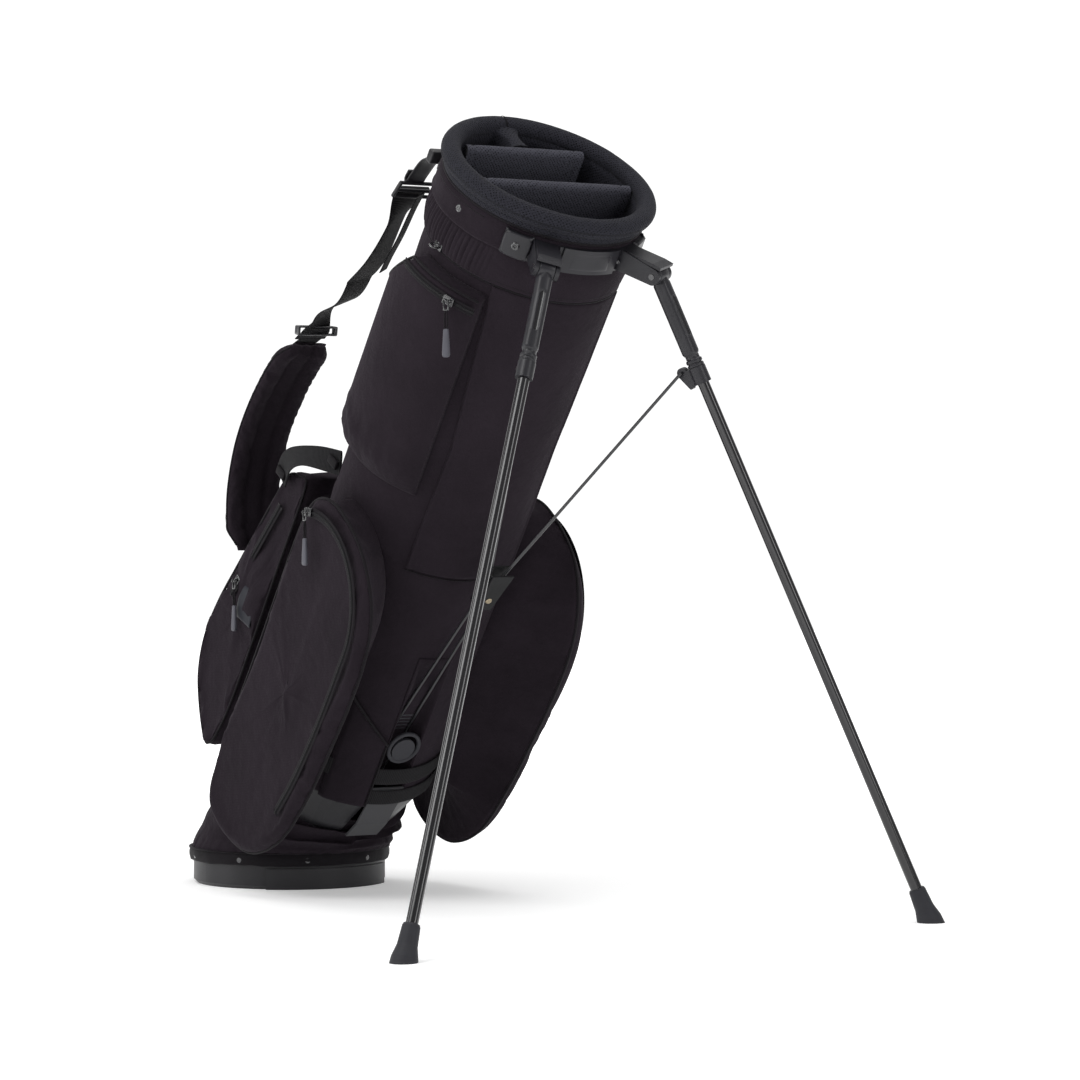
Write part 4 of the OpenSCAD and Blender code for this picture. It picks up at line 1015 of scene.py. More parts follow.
def ball_pocket():
    n = 110
    rim = smooth_path(BALL, n, loop=True)
    c = np.array([-150.0, 250.0])
    x = np.array([-80.6, -80, -78.5, -75, -69, -58, -40, -20, 0, 20, 40, 58, 69, 75, 78.5, 80, 80.6])
    rows = []
    for xi in x:
        s = 1 - 0.1 * max(0, (abs(xi) - 62) / 18.6) ** 2.2
        rel = rim - c
        q = c + rel * (1 - (1 - s) * np.minimum(1, 60 / np.linalg.norm(rel, axis=1)))[:, None]
        rows.append(np.concatenate([np.full((n, 1), xi), q], 1))
    side = rows[-1]
    caps = []
    for k in (0.93, 0.84, 0.7, 0.5, 0.3, 0.12):
        q = c + (side[:, 1:] - c) * k
        caps.append(np.concatenate([np.full((n, 1), 80.9 + 0.6 * (1 - k)), q], 1))
    left = [q * np.array([-1, 1, 1]) for q in caps][::-1]
    P = np.stack(left + rows + caps, 1)
    v, t = P[..., 1], P[..., 2]
    seed = 83
    big = wobble(P / np.array([1.0, 1.0, 1.8]), 40, seed)
    fine = wobble(np.stack([P[..., 0], v, t * 0.4], -1), 17, seed + 3)
    rel = P[..., 1:] - c
    d = unit(np.concatenate([np.zeros(P.shape[:2] + (1,)), rel], -1))
    rear = smooth(-v, 118, 150)
    P = P + d * (rear * (1.6 * big + 0.8 * fine - 1.5))[..., None]
    cheek = smooth(np.abs(P[..., 0]), 74, 80)
    P[..., 0] += np.sign(P[..., 0]) * cheek * (big - 1.2)
    f = Form().sheet(P, True, False)
    m = P.shape[1]
    for j, flip in ((0, False), (m - 1, True)):
        ring = [i * m + j for i in range(n)]
        f.f.append(tuple(ring if flip else ring[::-1]))
    f.f = [q[::-1] for q in f.f]
    ob = f.make("ball_pocket_cloth", FABRIC, "body_fabric", "bag", ["ball_pocket"])
    pins = []
    jj = [k for k in range(m) if abs(abs((left + rows + caps)[k][0, 0]) - 75) < 0.1]
    for j in jj + [0, m - 1]:
        pins += [i * m + j for i in range(n)]
    settle(ob, pins, pressure=1.4, extra=0.02, frames=14, cap=0.004)
    f = Form()
    for xi in (-76.0, 76.0):
        q = c + (rim - c) * (1 - 0.02)
        f.tube(np.concatenate([np.full((n, 1), xi), q], 1), 1.5, 8, loop=True)
    f.make("ball_piping", PIPING, "body_fabric", "bag")
    g, z = Form(), Form()
    a, b = np.array([80.3, -172, 262.0]), np.array([80.3, -138, 400.0])
    path = a + (b - a) * np.linspace(0, 1, 40)[:, None]
    zip_on(path, (1, 0, 0), g, z, 10.0)
    g.make("ball_zip_tape", PIPING, "zip_tape", "bag")
    z.make("ball_zip_coil", ZIP, "zip_tape", "bag")
    # rubber patch, left plain
    k = np.linspace(-1, 1, 22)
    Y, Z = np.meshgrid(k, k, indexing="ij")
    sq = 1 - np.maximum(np.abs(Y), np.abs(Z)) ** 10
    px = 81.6 + np.maximum(sq, 0) ** 0.5 - 0.25 * bump(np.maximum(np.abs(Y), np.abs(Z)), 0.86, 0.03) * 2
    ct, st = math.cos(math.radians(10)), math.sin(math.radians(10))
    y, zz = 17 * Y, 20 * Z
    P = np.stack([px, -139 + y * ct - zz * st, 272 + y * st + zz * ct], -1)
    Form().sheet(P).make("plain_patch", PATCH, "soft_rubber", "bag", ["pocket_patch"], thick=1.2,
        inwards=True)


def sleeve_and_bands():
    # bottle sleeve panel
    a = np.linspace(13, 42, 34)
    t = np.linspace(0, 1, 36)
    A, V = np.meshgrid(a, t, indexing="ij")
    top = 262 + (A - 13) * 1.65
    T = 181 + (top - 181) * V
    r = 103.4 + 0.8 * wobble(cyl(A, T, 103), 22, 91) - 2.2 * smooth(A, 38, 42) - (1 - smooth(A, 13, 15))
    Form().sheet(cyl(A, T, r), flip=True).make("sleeve_cloth", FABRIC, "body_fabric", "bag",
        ["bottle_sleeve"], thick=0.9)
    f = Form()
    aa = np.linspace(13, 42, 40)
    f.tube(cyl(aa, 262 + (aa - 13) * 1.65, 103.6), 1.5, 8)
    tt = np.linspace(183, 262, 24)
    f.tube(cyl(13 + 0 * tt, tt, 103.4), 1.2, 8)
    f.make("sleeve_piping", PIPING, "body_fabric", "bag")
    # webbing bands across the lower front
    f = Form()
    for lo, hi, a0, a1, r in ((210, 230, -50, 46, 101.6), (184, 202, -50, 40, 101.4)):
        ang = np.linspace(a0, a1, 60)
        f.ribbon(cyl(ang, (lo + hi) / 2, r), (0, 0, 1), hi - lo, 1.6)
    f.make("front_bands", WEBBING, "webbing", "bag", ["front_webbing"])
    X, T = np.meshgrid(np.linspace(-20.6, 20.6, 44), np.linspace(186, 371, 60), indexing="ij")
    low = np.minimum(94.6, 33.6 + 0.2426 * (T - 77.6))
    skin = np.sqrt((R + 0.25) ** 2 - X ** 2)
    up = np.maximum(smooth(np.abs(X), 12.6, 19.8), smooth(T, 350, 368.5))
    V = low + (skin - low) * up + 0.5 * wobble(np.stack([X, T / 2, X * 0], -1), 9, 95) * up * (1 - up) * 4
    Form().sheet(np.stack([X, V, T], -1), flip=True).make("slot_cloth", FABRIC, "body_fabric", "bag",
        thick=0.7, inwards=True)


# ---------------------------------------------------------------- skirt and hem
def skirt():
    n, m = 240, 34
    a = np.linspace(0, 360, n, endpoint=False)
    ar = np.radians(a)
    base = np.stack([107.2 * np.sin(ar), 107.2 * np.cos(ar), np.full(n, 37.0)], 1)
    top = np.stack([94.0 * np.sin(ar), 94.0 * np.cos(ar) - 4, np.full(n, 152.0)], 1)
    y = BAG_Y + top[:, 1] * CL + top[:, 2] * SL
    top = np.stack([top[:, 0], y, -top[:, 1] * SL + top[:, 2] * CL], 1)
    front = (0.5 + 0.5 * np.cos(ar)) ** 1.3
    u = np.linspace(0, 1, m)
    rows = []
    out = np.stack([np.sin(ar), np.cos(ar), 0 * ar], 1)
    for s in u:
        q = base * (1 - s) + top * s
        swell = math.sin(math.pi * s) ** 0.8
        q = q + out * (3.5 * (1 - front) * swell)[:, None]
        q = q + out * (-16 * front * smooth(s, 0.25, 0.95) * (1 - 0.3 * s))[:, None]
        w = wobble(np.stack([a / 30, a * 0 + 3 * s, a * 0], -1), 1.0, 103)
        roll = np.sin(2 * math.pi * (s * 3.2 + 0.35 * w + 0.15 * np.sin(ar * 3)))
        q = q + out * (front * 5.4 * roll * smooth(s, 0.08, 0.3) * (1 - smooth(s, 0.9, 1)))[:, None]
        gather = wobble(np.stack([a / 3.2, a * 0 + s, a * 0], -1), 1.0, 119)
        q = q + out * (1.6 * gather * (1 - smooth(s, 0.0, 0.4)) * smooth(s, 0.0, 0.06))[:, None]
        q[:, 2] += front * 2.5 * np.cos(2 * math.pi * (s * 3.2 + 0.35 * w)) * smooth(s, 0.1, 0.3)
        soft = wobble(q, 28, 107)
        q = q + out * (2.2 * soft * math.sin(math.pi * s))[:, None]
        q[:, 2] = np.maximum(q[:, 2], 36.5)
        rows.append(q)
    P = np.stack(rows, 1)
    ob = Form().sheet(P, True, False, flip=True).make("skirt_cloth", FABRIC, "body_fabric", None,
        ["skirt"], local=False, thick=0.8, inwards=True)
    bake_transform(ob)
    # hem
    b = np.linspace(0, 1, 9)
    rows = []
    for s in b:
        r = 107.4 + 1.4 * math.sin(math.pi * s) + 0.5 * wobble(np.stack([a / 7, a * 0 + s, a * 0], -1),
            1.0, 111)
        z = 25.2 + 14.5 * s + (0.9 * wobble(np.stack([a / 9, a * 0, a * 0 + 5], -1), 1.0, 113) if s < 0.1
            else 0)
        rows.append(np.stack([r * np.sin(ar), r * np.cos(ar), z + 0 * ar], 1))
    Form().sheet(np.stack(rows, 1), True, False, flip=True).make("hem_cloth", PIPING, "body_fabric",
        "base", ["hem_band"], local=False, thick=1.0, inwards=True)
    f = Form()
    ring = np.stack([108.6 * np.sin(ar), 108.6 * np.cos(ar), 38.6 + 0 * ar], 1)
    f.tube(ring, 0.9, 6, loop=True)
    f.make("hem_stitch", PIPING, "body_fabric", "base", local=False)


# ---------------------------------------------------------------- strap, pad, handle
STRAP = [(-128.7, 789.3), (-133.6, 791), (-135.5, 782), (-141, 752), (-154, 692), (-182, 638),
    (-204.8, 590), (-221, 556)]
PAD = [(-225.2, 546.8), (-243, 505), (-254, 450), (-254, 400), (-241, 352), (-219, 316), (-203, 298)]


def plane(path, x):
    p = np.asarray(path, float)
    return np.concatenate([np.broadcast_to(np.asarray(x, float).reshape(-1, 1), (len(p), 1)), p], 1)


def strap():
    n = 110
    p = smooth_path(STRAP, n)
    s = np.linspace(0, 1, n)
    turn = np.radians(27) * smooth(s, 0.05, 0.2) * (1 - smooth(s, 0.86, 0.97)) + 0.12 * np.sin(s * 9)
    across = np.stack([np.cos(turn), np.sin(turn), 0 * turn], 1)
    tan = unit(np.gradient(p, axis=0))
    p = p + np.stack([tan[:, 1], -tan[:, 0]], 1) * (7.0 * np.sin((s - 0.55) / 0.4 * 2 * math.pi)
        * (s > 0.55) * (s < 0.95))[:, None] * -1
    f = Form()
    f.ribbon(plane(p, 56 + 0 * p[:, 0]), across, 38, 1.5)
    tail = smooth_path([(-129, 790), (-134, 768), (-139, 735), (-146, 705), (-149, 688)], 40)
    f.ribbon(plane(tail + np.array([8.0, 0]), 52.0), (0.84, 0.54, 0), 15, 1.2)
    f.make("strap_cloth", WEBBING, "webbing", "bag", ["strap_webbing"])


def shoulder_pad():
    n, m = 84, 44
    path = smooth_path(PAD, n)
    tan = unit(np.gradient(path, axis=0))
    nrm = np.stack([tan[:, 1], -tan[:, 0]], 1)  # towards the bag
    k = np.linspace(0, 2 * math.pi, m, endpoint=False)
    u = np.sign(np.cos(k)) * np.abs(np.cos(k)) ** 0.6
    h = np.sign(np.sin(k)) * np.abs(np.sin(k)) ** 0.75
    s = np.linspace(0, 1, n)
    end = np.minimum(s, 1 - s)
    wide = 31 * (0.62 + 0.38 * smooth(end, 0, 0.10))
    fat = 7.8 * (0.25 + 0.75 * smooth(end, 0, 0.06))
    S, K = np.meshgrid(np.arange(n), np.arange(m), indexing="ij")
    uu, hh = u[K], h[K]
    groove = np.maximum(bump(uu, 0.34, 0.08), bump(uu, -0.34, 0.08))
    outer = hh < 0
    hh = hh * (1 - np.where(outer, 0.85, 0.5) * groove)
    x = 50 + wide[S] * uu
    off = fat[S] * hh
    q = path[S] + nrm[S] * off[..., None]
    P = np.concatenate([x[..., None], q], -1)
    puck = wobble(P, 18, 121) * 0.7 + 0.6 * np.sin(s[S] * 150 + uu * 3) * bump(np.abs(uu), 1.0, 0.12)
    P[..., 1:] += nrm[S] * (puck * np.sign(off))[..., None] * 0.6
    f = Form().sheet(P, False, True, flip=True)
    f.f.append(tuple(range(m)))
    f.f.append(tuple((n - 1) * m + i for i in range(m))[::-1])
    ob = f.make("shoulder_pad_cloth", FABRIC, "body_fabric", "bag", ["shoulder_pad"])
    pins = [i for i in range(n * m) if groove.reshape(-1)[i] > 0.6 or abs(uu.reshape(-1)[i]) > 0.985
        or i < m or i >= (n - 1) * m]
    settle(ob, pins, pressure=3.0, extra=0.02, frames=14, cap=0.003)
    f = Form()
    for side in (-1, 1):
        f.tube(np.concatenate([(50 + side * wide)[:, None], path], 1)[2:-2], 1.2, 8)
    f.make("pad_binding", PIPING, "body_fabric", "bag")
    f = Form()
    pp = smooth_path([(-212.5, 574), (-222, 556), (-233.5, 540), (-243.5, 522), (-251, 503)], 30)
    f.ribbon(plane(pp, 54.0), (1, 0, 0), 26, 1.4)
    f.make("pad_tab", WEBBING, "webbing", "bag")


def handle():
    pts = [(84.5, -56, 508), (91.5, -88, 494), (93, -118, 476), (89.5, -140, 454), (83, -150, 427)]
    p = smooth_path(pts, 60)
    tan = unit(np.gradient(p, axis=0))
    across = np.cross(tan, np.array([1.0, 0, 0]))
    f = Form()
    w = 26 - 5 * bump(np.linspace(0, 1, 60), 0.5, 0.25)
    f.ribbon(p, across, w, 2.6, belly=1.2)
    f.make("handle_cloth", WEBBING, "webbing", "bag", ["carry_handle"])
    f = Form()
    for q in (p[4], p[-5]):
        f.brick(q + np.array([1.5, 0, 0]), (2.2, 9, 5), 1.6)
    f.make("handle_clips", PIPING, "moulded_plastic", "bag")


def turned_x(ang):
    """The three axes after a turn about x."""
    c, s = math.cos(ang), math.sin(ang)
    return np.array([[1, 0, 0], [0, c, s], [0, -s, c]])


def straight(p, q, n):
    """n points from p to q."""
    return np.linspace(np.asarray(p, float), np.asarray(q, float), n)


def strap_hardware():
    f = Form()
    p = smooth_path([(-96, 846), (-112, 833), (-121.5, 812), (-125.5, 801), (-129.5, 803), (-127.5, 813)], 34)
    f.ribbon(plane(p, 62.0), (1, 0, 0), 21, 2.2)
    f.brick((62, -98, 846), (13, 5, 7), 2.5)
    f.make("hook_strap", PLASTIC, "moulded_plastic", "bag", ["strap_hook"])
    f = Form()
    fr = turned_x(math.radians(-18))
    c = np.array([56, -126.5, 793.0])
    for z in (-11.5, -3.2, 7.5):
        f.tube(straight((-22, 0, z), (22, 0, z), 12) @ fr + c, 2.0, 10)
    for x in (-22, 22):
        f.tube(straight((x, 0, -11.5), (x, 0, 7.5), 8) @ fr + c, 2.2, 10)
    f.make("ladder_frame", PLASTIC, "moulded_plastic", "bag", ["ladder_buckle"])
    f = Form()
    c = np.array([56, -214.4, 570.0])
    ang = math.atan2(-221 + 204.8, 590 - 556)
    fr = turned_x(ang)
    for z in (-4.0, 4.0):
        for y in (-2.9, 2.9):
            f.tube(straight((-22.5, y, z), (22.5, y, z), 12) @ fr.T + c, 1.2, 8)
    for x in (-22.5, 22.5):
        f.brick(c + np.array([x, 0, 0]), (1.9, 4.0, 5.0), 1.5, fr.T)
    f.make("pad_slide_buckle", SCREW, "moulded_plastic", "pad_buckle", ["pad_buckle"])


# ---------------------------------------------------------------- zip sliders and pulls
def axes_from(ex, ez):
    ex, ez = unit(ex), unit(ez)
    ex = unit(ex - ez * (ex @ ez))
    return np.array([ex, np.cross(ez, ex), ez])


def slider(name, body, place, along, out, pin, loop=False):
    """place is on the pocket's face; all in bag coordinates."""
    fr = axes_from(along, out)
    f = Form()
    o = np.asarray(place, float)

    def at(q):
        return np.asarray(q, float) @ fr + o

    f.brick(at([[0, 0, 2.9]])[0], (6.2, 4.2, 1.1), 1.0, fr)
    for sg in (-1, 1):
        f.brick(at([[sg * 0.2, sg * 3.7, 1.5]])[0], (5.6, 0.6, 1.0), 0.5, fr)
    k = np.linspace(0, math.pi, 14)
    if loop:
        k = np.linspace(0, 2 * math.pi, 30, endpoint=False)
        f.tube(at(np.stack([4.6 * np.cos(k), 0 * k, 8 + 4.6 * np.sin(k)], 1)), 1.1, 8, loop=True)
    else:
        f.tube(at(np.stack([5.0 * np.cos(k), 0 * k, 3.2 + 2.6 * np.sin(k)], 1)), 0.9, 8)
        c = at([[0, 0, 6.4]])[0]
        pin = unit(pin)
        f.tube(at(straight((0, 0, 4.0), (0, 0, 6.4), 6)), 1.2, 8)
        f.tube(c + pin * np.linspace(-4.6, 4.6, 8)[:, None], 0.85, 8)
    f.make(name, SLIDER, "slider_metal", body, [body])


def to_bag_dir(d):
    d = np.asarray(d, float)
    return np.array([d[0], d[1] * CL - d[2] * SL, d[1] * SL + d[2] * CL])


def pull(name, place, out, mirror=False):
    """Hangs straight down in the world from the slider's pin."""
    o = to_world([np.asarray(place, float) + unit(out) * 6.4])[0] * 1000
    w = to_world([np.asarray(out, float)])[0] * 1000 - to_world([np.zeros(3)])[0] * 1000
    w = np.array([w[0], w[1], 0])
    w = unit(w)
    px = np.array([-w[1], w[0], 0])
    if mirror:
        o, w, px = o * [-1, 1, 1], w * [-1, 1, 1], px * [-1, 1, 1]

    def at(q):
        q = np.asarray(q, float)
        return o + q[..., 0:1] * px + q[..., 1:2] * w + q[..., 2:3] * np.array([0, 0, 1.0])

    f = Form()
    k = np.linspace(-0.35 * math.pi, 1.35 * math.pi, 26)
    for sg in (-1, 1):
        x = sg * 2.6
        r = np.array([[x, 1.5 * math.cos(j), 1.5 * math.sin(j)] for j in np.linspace(0, 2 * math.pi, 16,
            endpoint=False)])
        f.tube(at(r), 0.55, 8, loop=True)
        f.tube(at(np.array([[x, 0, -1.6], [x, 0, -4.5], [x * 0.9, 0, -7.2]])), 0.95, 8)
    f.tube(at(np.array([[-2.5, 0, -7.6], [0, 0, -8.2], [2.5, 0, -7.6]])), 1.1, 8)
    f.make(name + "_link", SLIDER, "slider_metal", name, local=False)
    f = Form()
    for sg in (-1, 1):
        zz = np.linspace(-7.8, -28.5, 14)
        bow = sg * (0.9 + 0.8 * np.sin(math.pi * (zz + 7.8) / -20.7))
        f.tube(at(np.stack([bow, 0.2 * np.sin(zz), zz], 1)), 0.85, 8)
    f.make(name + "_cord", PIPING, "soft_rubber", name, local=False)
    f = Form()
    prof = [(0.4, -26.2), (2.2, -26.4), (2.9, -27.2), (3.0, -29), (3.3, -34), (3.8, -42), (4.1, -49),
        (4.1, -51.5), (3.5, -53.2), (2.0, -53.9), (0.4, -54.0)]
    k = np.linspace(0, 2 * math.pi, 24, endpoint=False)
    rows = []
    for r, z in prof:
        cx = np.sign(np.cos(k)) * np.abs(np.cos(k)) ** 0.55
        cy = np.sign(np.sin(k)) * np.abs(np.sin(k)) ** 0.7
        flat = 0.55 if z > -28 else 0.52
        rows.append(at(np.stack([r * cx, r * flat * cy, z + 0 * k], 1)))
    P = np.stack(rows, 1)
    f.sheet(P, True, False, flip=not mirror)
    f.make(name + "_tab", TAB, "soft_rubber", name, [name], local=False)


def sliders():
    a = math.radians(-28)
    place = np.array([SIDE_ZIP_X, *side_zip_point(a)])
    along = np.array([0, math.cos(a), -math.sin(a)])
    level = to_bag_dir([0, 1, 0])
    slider("side_slider_body_near", "side_slider_near", place, along, (1, 0, 0), level)
    slider("side_slider_body_far", "side_slider_far", far_side(place), along, (-1, 0, 0), level)
    pull("side_pull_near", place, (1, 0, 0))
    pull("side_pull_far", place, (1, 0, 0), mirror=True)
    d = unit([0, 34, 138.0])
    place = np.array([80, -172, 262.0]) + d * 22
    slider("ball_slider_body", "ball_slider", place, d, (1, 0, 0), level)
    pull("ball_pull", place, (1, 0, 0))
    b = math.radians(62)
    out = np.array([math.sin(b), math.cos(b), 0])
    place = out * VALUABLES_ZIP_R + [0, 0, VALUABLES_ZIP_T]
    w = to_world([out])[0] - to_world([np.zeros(3)])[0]
    lev = to_bag_dir(unit([-w[1], w[0], 0]))
    slider("valuables_slider_body", "valuables_slider", place, np.cross([0, 0, 1.0], out), out, lev)
    pull("valuables_pull", place, out)
    b = math.radians(87)
    out = np.array([math.sin(b), math.cos(b), 0])
    slider("upper_slider_body", "upper_slider", out * R + [0, 0, UPPER_ZIP_T], np.cross([0, 0, 1.0], out),
        out, (0, 0, 1), loop=True)


# ---------------------------------------------------------------- bracket and hardware
def bracket():
    f = Form()
    for sg in (-1, 1):
        a = np.linspace(-1, 1, 24)
        t = np.linspace(-1, 1, 20)
        A, T = np.meshgrid(a, t, indexing="ij")
        rim = (np.abs(A) ** 5 + np.abs(T) ** 5)
        lift = 110.2 - 3.2 * np.clip(rim - 0.72, 0, 1) ** 0.8 * 2.2
        AA = sg * (41.3 + 7.9 * A * (1 - 0.12 * (T < 0) * np.abs(T)))
        f.sheet(cyl(AA, 850 + 13.5 * T, np.maximum(lift, 106.5)), flip=sg > 0)
    f.make("ear_plates", BRACKET, "moulded_plastic", "bag", thick=3.0, inwards=True)
    f = Form()
    a = np.linspace(-1, 1, 40)
    t = np.linspace(-1, 1, 16)
    A, T = np.meshgrid(a, t, indexing="ij")
    rim = np.maximum(np.abs(A) ** 8, np.abs(T) ** 6)
    AA = 15.5 * A * (1 - 0.10 * (T + 1) / 2)
    lift = 110.6 - 1.6 * rim - 0.8 * bump(np.maximum(np.abs(A), np.abs(T)), 0.82, 0.05)
    f.sheet(cyl(AA, 850 + 11.2 * T, lift), flip=True)
    f.make("centre_plate", BRACKET, "moulded_plastic", "bag", thick=2.2, inwards=True)
    f = Form()
    for ang, r, k in ((41.5, 110.0, 1.0), (-41.5, 110.0, 1.0), (18.4, 109.2, 0.5), (-18.4, 109.2, 0.5)):
        c = cyl(ang, 850, r)
        ax = cyl(ang, 0, 1)
        f.lathe([(0.3, 0.6), (1.4 * k, 0.6), (1.6 * k, 1.6), (2.2 * k, 2.2), (3.4 * k, 1.9),
            (4.2 * k, 1.0), (4.5 * k, -0.5)], c, ax, 28)
    f.make("bracket_screws", SCREW, "rivet_metal", "bag", ["bracket_rivets"])


# ---------------------------------------------------------------- legs and wires
PIVOT = np.array([65.5, 131.0, 853.0])
FOOT = (304.0, 723.0, 0.0)
HOUSING, TUBE_R, WIRE_R = 97.0, 5.8, 1.6
WINDOW = (-66.0, -24.0)        # the sleeve's window, along the leg


def leg_axes():
    """The leg's frame in bag coordinates: along its pin, towards the bag, and up the leg."""
    y = FOOT[1] - BAG_Y
    foot = np.array([FOOT[0], y * CL - FOOT[2] * SL, y * SL + FOOT[2] * CL])
    down = unit(foot - PIVOT)
    pin = unit(np.cross(down, [0, 0, -1.0]))
    return np.array([pin, np.cross(pin, down), -down]), float(np.linalg.norm(foot - PIVOT))


def on_leg(q, side):
    fr = leg_axes()[0]
    p = np.asarray(q, float) @ fr + PIVOT
    return far_side(p) if side == "far" else p


def place_leg(f, side):
    f.p = [on_leg(p, side) for p in f.p]
    if side == "far":
        f.f = [q[::-1] for q in f.f]
    return f


def sleeve(side):
    z = np.concatenate([[-3, -3.4, -5, -8], np.linspace(-10, -82, 110),
        [-83.4, -84.2, -84.6, -89.0, -89.3, -89.8, -92.2, -92.7, -93.1,
                                                                  -93.5, -93.8, -94.3, -96.4, -97]])
    r = np.interp(-z, [3, 3.4, 5, 10, 70, 83.4, 84.2, 84.6, 89.0, 89.3, 89.8, 92.2, 92.7, 93.1, 93.5, 93.8,
        94.3, 96.4, 97],
                  [5.5, 6.6, 7.4, 8, 7.9, 7.9, 7.6, 6.9, 6.9, 7.8, 8.2, 8.2, 7.8, 6.9, 6.9, 7.8, 8.3, 8.3,
                      7.6])
    a = np.linspace(0, 2 * math.pi, 96, endpoint=False)
    Z, A = np.meshgrid(z, a, indexing="ij")
    square = (np.abs(np.cos(A)) ** 3 + np.abs(np.sin(A)) ** 3) ** (-1 / 3)
    rr = r[:, None] * (1 + (square - 1) * 0.75 * ((Z > -83) & (Z < -8)))
    off = (A - 1.5 * math.pi) * 8.0
    mid = np.clip(Z, WINDOW[0] + 3, WINDOW[1] - 3)
    near = np.hypot(off, Z - mid)
    rr = rr - 1.7 * (1 - smooth(near, 2.3, 3.1)) + 0.35 * bump(near, 3.6, 0.6)
    f = Form().sheet(np.stack([rr * np.cos(A), rr * np.sin(A), Z], -1), False, True)
    # head on the pin
    f.lathe([(0.1, -8), (7.6, -8), (8.7, -7.4), (9.0, -6.6), (9.0, 6.6), (8.7, 7.4), (7.6, 8), (0.1, 8)],
        (0, 0, 0), (1, 0, 0), 48)
    place_leg(f, side).make("leg_sleeve_" + side, BRACKET, "moulded_plastic", "leg_" + side,
        ["leg_housing_" + side])
    f = Form()
    k = np.linspace(-0.36, 0.36, 9) - math.pi / 2
    z = np.linspace(WINDOW[0] + 0.6, WINDOW[1] - 0.6, 24)
    Z, A = np.meshgrid(z, k, indexing="ij")
    f.sheet(np.stack([6.75 * np.cos(A), 6.75 * np.sin(A), Z], -1), flip=False)
    for zz in (-87.0, -93.3):
        f.lathe([(6.6, zz - 0.5), (7.05, zz), (6.6, zz + 0.5)], (0, 0, 0), (0, 0, 1), 40)
    place_leg(f, side).make("leg_window_" + side, TUBE, "black_tube", "leg_" + side, thick=0.0)


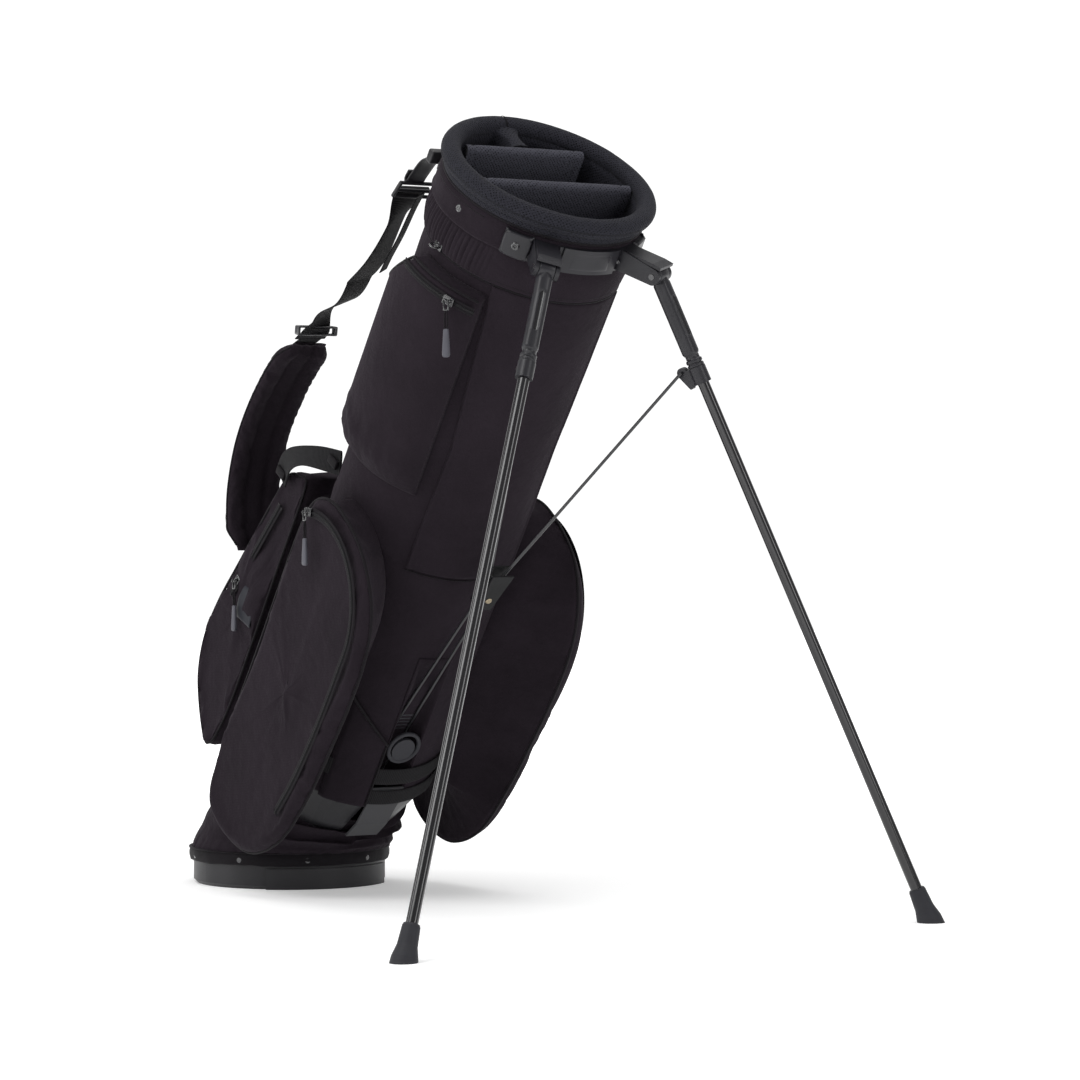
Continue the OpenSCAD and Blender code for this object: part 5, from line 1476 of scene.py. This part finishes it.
def round_bars():
    length = leg_axes()[1]
    for side in ("near", "far"):
        z0, z1 = 1 - HOUSING, 12 - length
        ring = [(TUBE_R - 0.3, z0), (TUBE_R, z0 - 0.4)] + [(TUBE_R, z)
            for z in np.linspace(z0 - 1.2, z1 + 1.2, 14)]
        f = Form().lathe([(0.1, z0)] + ring + [(TUBE_R, z1 + 0.4), (TUBE_R - 0.3, z1), (0.1, z1)],
            (0, 0, 0), (0, 0, 1), 64)
        place_leg(f, side).make("leg_tube_round_" + side, TUBE, "black_tube", "leg_" + side,
            ["leg_tube_" + side])
        j = next(q for q in frame["record"]["behaviour"]["joints"] if q["name"] == "wire_%s_swing" % side)
        eye = np.array(j["pos_m"]) * 1000
        axis = unit(j["axis"])
        if side == "far":
            axis = -axis
        out = axis if (axis[0] < 0) == (side == "far") else -axis
        ball = to_world([YOKE if side == "near" else far_side(np.array([YOKE]))[0]])[0] * 1000
        bend = eye - out * 5.4
        head = eye + out * 4.6
        f = Form()
        line = unit(ball - bend)
        corner_pts = [head, bend + out * 2.2, bend + out * 0.6 + line * 0.6, bend + line * 2.2]
        path = np.concatenate([smooth_path3(corner_pts, 14),
            bend + line * np.linspace(6, np.linalg.norm(ball - bend), 12)[:, None]])
        f.tube(path, WIRE_R, 14)
        f.lathe([(0.1, 0), (2.5, 0.1), (2.7, 0.6), (2.3, 1.2), (0.1, 1.3)], head, out, 20)
        f.lathe([(0.1, -2.2), (1.3, -1.8), (2.0, -0.9), (2.2, 0), (2.0, 0.9), (1.3, 1.8), (0.1, 2.2)],
            ball, (0, 0, 1), 20)
        f.make("upper_wire_round_" + side, WIRE, "black_wire", "upper_wire_" + side,
            ["upper_wire_" + side], local=False)
    bar = np.array([0, 75.0, 44.0])
    top = to_world([YOKE * [0, 1, 1]])[0] * 1000
    up = unit(top - bar)
    end = np.linalg.norm(top - bar) - 22
    f = Form()
    f.tube(bar + np.array([1.0, 0, 0]) * np.linspace(-26.5, 26.5, 8)[:, None], WIRE_R, 14)
    for sg in (-1, 1):
        k = np.linspace(0, 1, 14)[:, None]
        f.tube((bar + [sg * 13.5, 0, 0]) * (1 - k) + (bar + up * end + [sg * 5.0, 0, 0]) * k, WIRE_R, 14)
    f.make("lower_wire_round", WIRE, "black_wire", "actuator", ["lower_wire"], local=False)


YOKE = np.array([8.0, 143.0, 505.0])


def smooth_path3(pts, n):
    """n points spread evenly, by index, along the straight runs between points in space."""
    pts = np.asarray(pts, float)
    u = np.linspace(0, len(pts) - 1, n)
    i = np.minimum(u.astype(int), len(pts) - 2)
    return pts[i] + (pts[i + 1] - pts[i]) * (u - i)[:, None]


# ---------------------------------------------------------------- put it together
KEEP = {
    "base_cup": PLASTIC, "foot_plate": PLASTIC, "base_hinge_pin": STEEL, "hem_rivets": SCREW,
    "lower_boot": PLASTIC,
    "tube_shell": LINING, "tube_floor": TROUGH, "wire_guard": FABRIC, "stay_rods": WIRE,
    "divider_sheets": LINING,
    "leg_bracket": BRACKET, "leg_pivot_pins": SCREW, "wire_gland": RUBBER,
    "foot_near": RUBBER, "foot_far": RUBBER, "eye_clamp_near": BRACKET, "eye_clamp_far": BRACKET,
    "yoke_front": TROUGH, "yoke_back": TROUGH,
    "yoke_rivet": BRASS,
}

camera()
studio()
body_cloth()
front_panel()
collar()
cuff()
divider("front_divider_pad", 14, "divider_front", 55)
divider("rear_divider_pad", -52, "divider_rear", 57)
centre_divider()
side_pocket("near")
side_pocket("far")
valuables()
ball_pocket()
sleeve_and_bands()
skirt()
strap()
shoulder_pad()
handle()
strap_hardware()
sliders()
bracket()
sleeve("near")
sleeve("far")
round_bars()
for name, mat in KEEP.items():
    ob = frame["nodes"][name]
    for s in ob.material_slots:
        s.material = mat
    if not ob.material_slots:
        ob.data.materials.append(mat)
